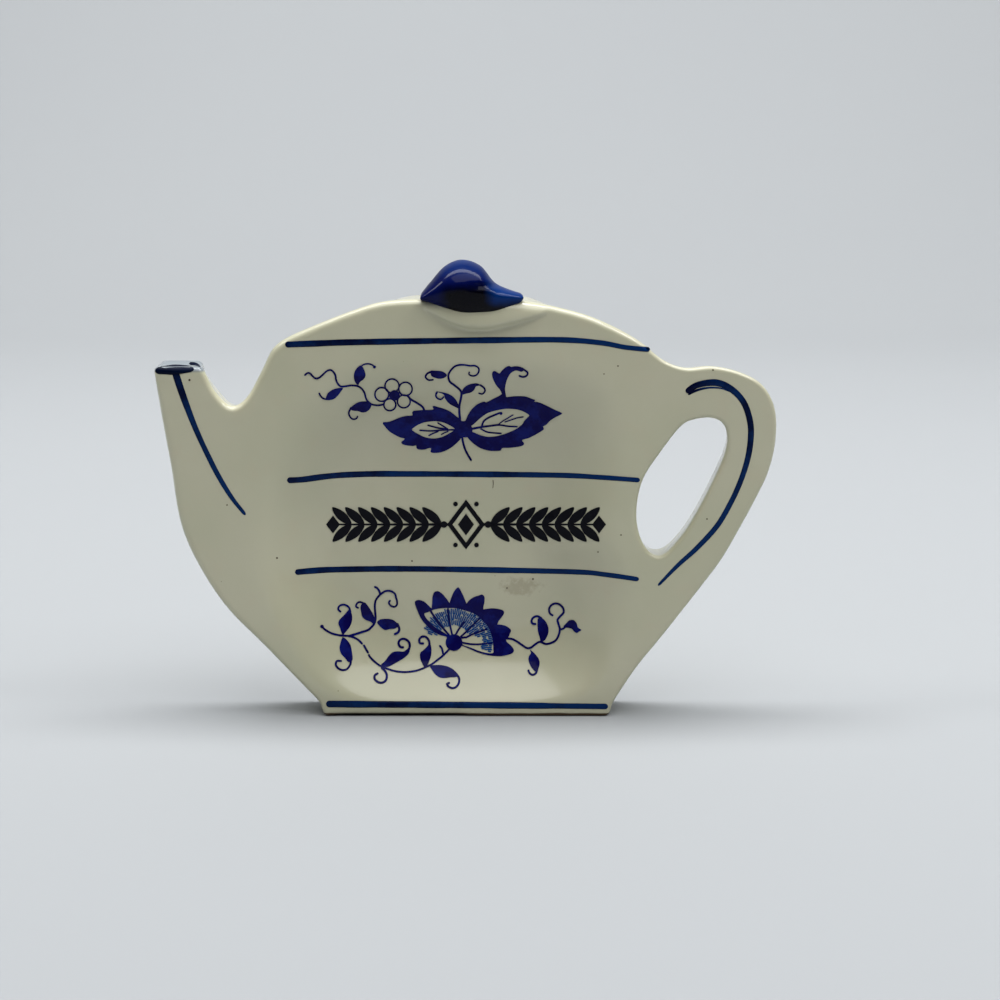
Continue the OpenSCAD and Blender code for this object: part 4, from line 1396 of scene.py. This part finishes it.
sprig("upper_spray", [px_line(leaf, True) for leaf in UPPER_LEAVES_PX],
      [px_line(pane, True) for pane in UPPER_WINDOWS_PX], UPPER_DOTS_PX, UPPER_RINGS_PX,
      UPPER_STROKES_PX)


# Lower spray.
# The same blue, brushed as a vine with a fan-shaped bloom. The fan is left pale, with ribs
# and fine hatching in it.
LOWER_LEAVES_PX = [
    [(342.5, 635), (340, 628), (338.5, 624), (339, 620.5), (341.5, 617.5), (345, 614),
     (347.5, 611), (350, 609), (352, 615), (352, 621), (350, 626.5), (347, 630.5),
     (344.5, 633.5)],
    [(342.5, 637), (340.5, 643), (339.5, 648), (341, 653.5), (345, 658), (348.5, 662),
     (352.5, 660), (352, 652), (350.5, 645), (347, 640), (344, 637.5)],
    [(373.5, 624), (371, 622), (366, 620), (362.5, 617), (361, 612), (360.5, 606.5),
     (362.5, 603), (365, 602.5), (368, 606), (371, 610.5), (373.5, 615), (375, 620)],
    [(377, 622), (380, 619.5), (386, 618.8), (392, 619.5), (396, 622), (399, 625.5),
     (395, 628.5), (390, 629), (385, 630), (380.5, 627), (377.5, 623.5)],
    [(381, 665), (385, 661), (389, 655.5), (393, 652), (398, 651.3), (403, 651.5),
     (406, 650), (409, 648), (409.5, 652), (406, 656.5), (400, 660.5), (393, 664.5),
     (387, 667)],
    [(424.5, 667), (421.5, 662), (420, 657), (420.5, 652.5), (424, 649.5), (427, 646.5),
     (430, 643), (431.5, 649), (431, 656), (429, 661.5), (427.5, 665)],
    [(430, 666), (435, 665), (441, 665), (448, 666.5), (454, 670), (458.5, 675.5),
     (456, 677), (450, 677.3), (445, 678), (440, 677.5), (435.5, 674.5), (432.5, 670.5)],
    [(541, 641.5), (539.5, 637), (538, 632), (537.5, 627), (537.5, 622), (538, 618.5),
     (542, 618), (546, 622), (548.5, 628), (548, 634), (545, 640)],
    [(530, 649.5), (531, 653), (529, 656), (528.5, 660), (530, 665), (533, 669.5),
     (536, 671.5), (539, 667), (539.5, 661), (536.5, 655.5)],
    [(563.5, 627), (566, 623.5), (569, 620.5), (573.5, 620), (576.5, 623), (578, 627.5),
     (581.5, 630), (579, 631.5), (577, 633), (574, 631.5), (572, 629), (569, 628)]]
BLOOM_RUNS_PX = [
    [(461, 645.5), (454, 651), (446, 645), (447, 637.5), (440, 635), (433, 631), (427, 626),
     (421, 618.5), (417.5, 611), (415, 604), (415.5, 601), (419, 600), (424, 601.5),
     (428, 605), (431.5, 608.5)],
    [(431.5, 608.5), (432, 603), (432.5, 597), (434, 592.5), (437.5, 591), (442, 593.5),
     (446, 598), (449.5, 603)],
    [(449.5, 603), (451.5, 597), (454, 591.5), (457.5, 587.5), (459.5, 588.5), (462, 593),
     (464.5, 598.5), (466.5, 603.5)],
    [(466.5, 603.5), (469.5, 600), (474, 597), (479, 595.5), (482, 594.5), (484.5, 597),
     (484.5, 602), (483.5, 607), (483.3, 609.5)],
    [(483.3, 609.5), (487, 608.8), (493, 608.3), (499, 609), (503.5, 610.8), (504, 613.5),
     (501.5, 617.5), (498.5, 621.5), (497.5, 624.5)],
    [(497.5, 624.5), (502, 624.8), (507, 626.5), (511, 630), (510, 633.5), (508.5, 637),
     (506, 640)],
    [(506, 640), (507, 642), (511, 645.5), (514, 650), (512.5, 653), (508, 654.8),
     (502, 656), (495, 656), (487, 655), (478, 652.5), (470, 649), (464, 646.5),
     (461, 645.5)]]
BLOOM_WINDOW_PX = [
    (449, 635.5), (443, 632), (436, 628), (430, 622.5), (425.5, 617), (424.5, 613.5),
    (428, 612.3), (433, 610), (440, 608.5), (450, 608), (458, 608.5), (463, 610),
    (468, 611.5), (474, 613.5), (479, 617), (483, 621), (487, 625.5), (490, 631),
    (492, 637), (493, 643), (493.3, 649), (492.8, 653), (486, 652.8), (478, 650.5),
    (470, 647.3), (463, 644.8), (461, 640), (459, 636.5), (454, 634.5)]
LOWER_STROKES_PX = [
    (2.1, 2.1, [(321.5, 626), (325, 629.5), (331, 633), (337, 634.8), (342, 635.5),
                (349, 636), (354, 637.5), (358.5, 640), (362, 643.5)]),
    (2.1, 2.1, [(364, 645.5), (366, 649), (368, 652.5)]),
    (2.1, 2.1, [(369, 655), (370, 657), (374, 661), (379, 665), (383, 667), (388, 669),
                (395, 671), (404, 672), (413, 671.3), (420, 669.5), (426, 667), (432, 664),
                (438, 659.5), (443, 655.5), (447, 651.5), (449, 649.5)]),
    (2.4, 2, [(349, 636), (355, 634.3), (362, 632), (368, 630), (371.5, 627), (374, 624),
              (375.5, 619), (375.3, 613), (374.8, 607), (375.5, 601), (378, 597),
              (381.5, 593.5), (386, 591), (391, 591.2), (395, 594), (396, 597.5),
              (397, 601), (397, 604.5), (394.5, 606.8), (390.5, 605.5), (388.8, 602.5),
              (390, 600.8)]),
    (2.2, 2.2, [(380, 593.5), (379, 590.5), (377, 588), (375, 587)]),
    (2, 2, [(350.5, 612), (349, 607.5), (345.5, 605), (342, 604.8), (339, 606.5),
            (338.3, 609.5), (340.5, 611.5)]),
    (2.2, 2.2, [(350.5, 660), (350.5, 664), (347, 669), (342, 670), (338, 668),
                (335.8, 664.5), (337, 661), (341, 661)]),
    (2, 2, [(363, 603), (359.5, 602), (357, 603.5), (356, 606.5), (358, 607.8)]),
    (2.4, 2.4, [(397.5, 624), (399.3, 629), (398, 632.5), (395, 634)]),
    (2.4, 2.4, [(408, 651.5), (409.8, 646), (408.5, 641.5), (404, 638.8), (400, 640),
                (398.5, 643.5), (400.5, 647), (403, 647.3)]),
    (2.3, 2.3, [(429.5, 646), (429, 641), (426, 637), (421.8, 636.8), (419.3, 639.5),
                (420, 643), (423, 643.5)]),
    (2.3, 2.3, [(456, 673.5), (459, 678), (458.8, 683), (456, 687), (452, 688),
                (448.5, 686.5), (447, 684), (449, 683)]),
    (2.4, 2.4, [(382, 668), (385, 671), (386.8, 675), (386, 680), (382.5, 682.5),
                (378, 682), (374.8, 679), (374.8, 675.5), (377.5, 673.5)]),
    (2, 2, [(443, 653.5), (442, 648.5), (440, 646)]),
    (2, 2.2, [(449, 635), (440, 624.5), (434.5, 617), (431, 611.5)]),
    (2, 2, [(452, 634), (450, 625), (448.5, 616), (448, 609)]),
    (2, 2, [(456, 634), (459, 629), (464, 622)]),
    (2, 1.6, [(461, 636.5), (467, 631), (474, 624), (480, 618)]),
    (2, 2, [(462, 637.8), (465, 637.3)]),
    (2, 1.6, [(466, 637.5), (472, 634.5), (480, 631.5), (487, 629)]),
    (2, 1.6, [(462, 642.5), (470, 644), (478, 644.3), (486, 643.5), (492, 643)]),
    (2.2, 2.2, [(507, 638.5), (512, 639), (517, 641.5), (522, 645), (527, 648),
                (531, 647.5), (535, 644.5), (540, 641.8), (546, 644), (552, 642.5),
                (556, 640), (558.5, 635.5), (559.8, 629.5), (558.5, 624), (557.5, 620),
                (560, 616.5), (563.5, 612.5), (563, 608), (559.5, 604.5), (555, 603.5),
                (551, 605.5), (549, 609.5), (550, 613.5), (552.5, 615.3)]),
    (2.3, 2.3, [(541, 618), (537, 616.2), (533.5, 617.5), (531.5, 620.5), (532.5, 623.5),
                (535.3, 624)]),
    (2.2, 2.2, [(537.5, 668), (536, 673), (532.5, 674.8), (529.5, 673), (528.5, 670.5)]),
    (2, 2, [(560, 629.5), (563.5, 628.5), (566, 626)])]
LOWER_DOTS_PX = [(454, 642.5, 8.4), (322, 626.5, 1.9)]

bloom = [p for run in BLOOM_RUNS_PX for p in px_line(run)[:-1]]
sprig("lower_spray", [bloom] + [px_line(leaf, True) for leaf in LOWER_LEAVES_PX],
      [px_line(BLOOM_WINDOW_PX, True)], LOWER_DOTS_PX, [], LOWER_STROKES_PX)


# Hatching in the bloom.
# Fine strokes of a paler blue stand in rings round the eye of the bloom and fill its fan.
# They are set side by side along each ring, with a little chance in their length and lean.
HATCH_MIDDLE_PX = (454, 642.5)
HATCH_RINGS_PX = [(20, 30, 156), (25.5, 14, 160), (31, -12, 154), (36.5, -14, 60)]
HATCH_GAP_PX = 1.9
HATCH_LENGTH_PX = 6.0
HATCH_WIDTH_PX = 1.5
HATCH_LEAST = 0.5
HATCH_MOST = 1.35
HATCH_LEAN = 0.12
HATCH_SEED = 4
HATCH_ARC_STEPS = 40
HATCH_DEEP = paint(14, 52, 118)
HATCH_PALE = paint(40, 88, 142)
HATCH_CLOUD = 1.2
HATCH_LIFT_SHARE = 0.6
RULER_PX = ((466.5, 540), (467.5, 540))
PX_TO_MM = (spot(RULER_PX[1]) - spot(RULER_PX[0])).length

marks, marks_in = laying_tree("marks_along_a_line", {
    "Mark": "Object", "Gap": "Float", "Least": "Float", "Most": "Float", "Lean": "Float",
    "Seed": "Int"})
marks_line = marks.node("GeometryNodeSetCurveNormal", {"mode": "Z_UP"},
                        {"Curve": marks_in["Geometry"]})
marks_points = marks.node("GeometryNodeResampleCurve", {"mode": "LENGTH"},
                          {"Curve": marks_line, "Length": marks_in["Gap"]})
marks_mark = marks.node("GeometryNodeObjectInfo", {"transform_space": "ORIGINAL"},
                        {"Object": marks_in["Mark"]}, "Geometry")
marks_turn = marks.node("FunctionNodeAlignRotationToVector", {"axis": "X", "pivot_axis": "Z"},
                        {"Vector": marks.node("GeometryNodeInputTangent")})


def chance(low, high, seed):
    """A number between low and high, drawn for each mark."""
    sockets = {2: low, 3: high, "Seed": seed}
    return marks.node("FunctionNodeRandomValue", {"data_type": "FLOAT"}, sockets, 1)


marks_lean = chance(marks_in["Lean"] * -1.0, marks_in["Lean"], marks_in["Seed"])
marks_lean = marks.node("ShaderNodeCombineXYZ", {}, {2: marks_lean})
marks_turn = marks.node("FunctionNodeRotateRotation", {},
                        {"Rotation": marks_turn, "Rotate By": marks_lean})
marks_size = chance(marks_in["Least"], marks_in["Most"], marks_in["Seed"] + 1)
marks_size = marks.node("ShaderNodeCombineXYZ", {}, {0: 1.0, 1: marks_size, 2: 1.0})
marks_set = marks.node("GeometryNodeInstanceOnPoints", {},
                       {"Points": marks_points, "Instance": marks_mark,
                        "Rotation": marks_turn, "Scale": marks_size})
lay_on_glaze(marks, marks_in, marks.node("GeometryNodeRealizeInstances", {}, {0: marks_set}))


def lay_marks(name, lines, outlines, finish, gap_px, lift, chances):
    """Lays a small flat mark with these outlines again and again along some lines."""
    corners = [p for outline_points in outlines for p in outline_points]
    faces = []
    for outline_points in outlines:
        start = sum(len(face) for face in faces)
        faces.append(list(range(start, start + len(outline_points))))
    mark = closed_plate(name + "_mark", corners, faces)
    piece = laid_piece(straight_curve(name, lines), marks, finish,
                       {"Mark": mark, "Gap": gap_px * PX_TO_MM * MM, **chances}, lift)
    bpy.data.objects.remove(mark)
    return piece


hatch_blue = clouded_finish("hatch_blue", HATCH_DEEP, HATCH_PALE, HATCH_CLOUD,
                            {**FIRED_COLOUR, "Coat Weight": 0.12})
half_width = HATCH_WIDTH_PX * PX_TO_MM / 2
half_length = HATCH_LENGTH_PX * PX_TO_MM / 2
hatch_mark = [(-half_width, -half_length), (half_width, -half_length),
              (half_width, half_length), (-half_width, half_length)]
hatch_lines = []
for radius, first, last in HATCH_RINGS_PX:
    arc = []
    for step in range(HATCH_ARC_STEPS + 1):
        turn = math.radians(first + (last - first) * step / HATCH_ARC_STEPS)
        arc.append(spot((HATCH_MIDDLE_PX[0] + radius * math.cos(turn),
                         HATCH_MIDDLE_PX[1] - radius * math.sin(turn))))
    hatch_lines.append(arc)
hatching = lay_marks("bloom_hatching", hatch_lines, [hatch_mark], hatch_blue, HATCH_GAP_PX,
                     COLOUR_LIFT * HATCH_LIFT_SHARE,
                     {"Least": HATCH_LEAST, "Most": HATCH_MOST, "Lean": HATCH_LEAN,
                      "Seed": HATCH_SEED})
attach(hatching, "root")


# Border between the middle lines.
# A dark laurel border runs between the two middle lines: leaves in pairs on a thin stem, a
# lozenge in the middle and a small one at each end. It is printed in black under the glaze.
BORDER_MIDDLE_PX = (466, 524.5)
BORDER_HALF_PX = 131
LAUREL_START_PX = 26
LAUREL_STOP_PX = 14
LAUREL_GAP_PX = 11.6
LAUREL_STEP_PX = 1.5
LAUREL_LEAF_PX = [(-1.5, 0.5), (0, 5.5), (4, 11), (10.5, 15.5), (17.5, 17.5), (15.5, 10.5),
                  (10.5, 4.5), (4, 0.8)]
LAUREL_SEED = 2
LAUREL_DEEP = paint(7, 7, 12)
LAUREL_PALE = paint(15, 16, 26)
LAUREL_CLOUD = 1.5
STEM_START_PX = 18
STEM_BEND_PX = 70
STEM_WIDTHS_PX = (2.6, 1.6)
LOZENGE_PX = (19, 25)
LOZENGE_WINDOW_PX = (13.5, 18)
LOZENGE_HEART_PX = (8, 11)
END_LOZENGE_PX = (7, 9)
END_LOZENGE_OUT_PX = 2
STEM_BERRY_PX = (22, 3.4)
LOZENGE_BERRY_PX = (10.5, 20.5, 2.4)

laurel_black = clouded_finish("laurel_black", LAUREL_DEEP, LAUREL_PALE, LAUREL_CLOUD,
                              {**FIRED_COLOUR, "Coat Weight": 0.12, "Coat Roughness": 0.08})
leaf = [tuple(p * PX_TO_MM) for p in smooth_line(LAUREL_LEAF_PX, LAUREL_STEP_PX, closed=True)]
leaf_pair = [leaf[::-1], [(x, -y) for x, y in leaf]]
border_x, border_y = BORDER_MIDDLE_PX
leaf_reach = range(LAUREL_START_PX, BORDER_HALF_PX - LAUREL_STOP_PX)
leaf_lines = [[spot((border_x + side * along, border_y)) for along in leaf_reach]
              for side in (-1, 1)]
leaves = lay_marks("laurel_leaves", leaf_lines, leaf_pair, laurel_black, LAUREL_GAP_PX,
                   COLOUR_LIFT, {"Least": 1.0, "Most": 1.0, "Lean": 0.0, "Seed": LAUREL_SEED})
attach(leaves, "root")


def lozenge(x, y, half_width, half_height):
    """A lozenge as one flat shape in the picture."""
    return [Vector((x - half_width, y)), Vector((x, y - half_height)),
            Vector((x + half_width, y)), Vector((x, y + half_height))]


border_over = [lozenge(border_x, border_y, *LOZENGE_HEART_PX)]
for side in (-1, 1):
    stem = [(border_x + side * along, border_y)
            for along in (STEM_START_PX, STEM_BEND_PX, BORDER_HALF_PX)]
    end_x = border_x + side * (BORDER_HALF_PX + END_LOZENGE_OUT_PX)
    border_over += stroke_shapes(stem, *STEM_WIDTHS_PX)
    border_over.append(lozenge(end_x, border_y, *END_LOZENGE_PX))
    border_over.append(disc(border_x + side * STEM_BERRY_PX[0], border_y, STEM_BERRY_PX[1]))
    for up in (-1, 1):
        right_px, up_px, radius_px = LOZENGE_BERRY_PX
        border_over.append(disc(border_x + side * right_px, border_y + up * up_px, radius_px))
ornament = painted_plate("centre_ornament", [lozenge(border_x, border_y, *LOZENGE_PX)],
                         [lozenge(border_x, border_y, *LOZENGE_WINDOW_PX)], border_over)
lay_plate(ornament, laurel_black)


# Specks in the glaze.
# A few tiny iron specks and one hair-fine mark came up in the firing, and stay in the glaze.
SPECKS_PX = [(412, 561, 0.9), (277, 558, 1.0), (189.5, 380, 1.2), (227, 505, 0.8),
             (713, 370, 0.9), (618, 366, 0.8), (604, 374, 0.7), (707, 519, 0.8),
             (621, 535, 0.8), (598, 552, 0.7), (507, 588, 0.8), (533, 579, 0.9)]
HAIR_MARK_PX = [(493, 480.5), (493.3, 484), (492.8, 488)]
SPECK_DARK = paint(52, 44, 34)
SPECK_PALE = paint(104, 92, 70)
SPECK_CLOUD = 2
SPECK_LIFT_SHARE = 0.3
HAIR_WIDTHS_PX = (0.9, 0.5)

speck_brown = clouded_finish("speck_brown", SPECK_DARK, SPECK_PALE, SPECK_CLOUD,
                             {"Roughness": 0.5, "Specular IOR Level": 0.1,
                              "Coat Weight": 0.5, "Coat Roughness": 0.06})
speck_plate = painted_plate("glaze_specks", [disc(*speck) for speck in SPECKS_PX], [],
                            stroke_shapes(HAIR_MARK_PX, *HAIR_WIDTHS_PX))
speck_piece = laid_piece(speck_plate, plate, speck_brown, {}, COLOUR_LIFT * SPECK_LIFT_SHARE)
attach(speck_piece, "root")
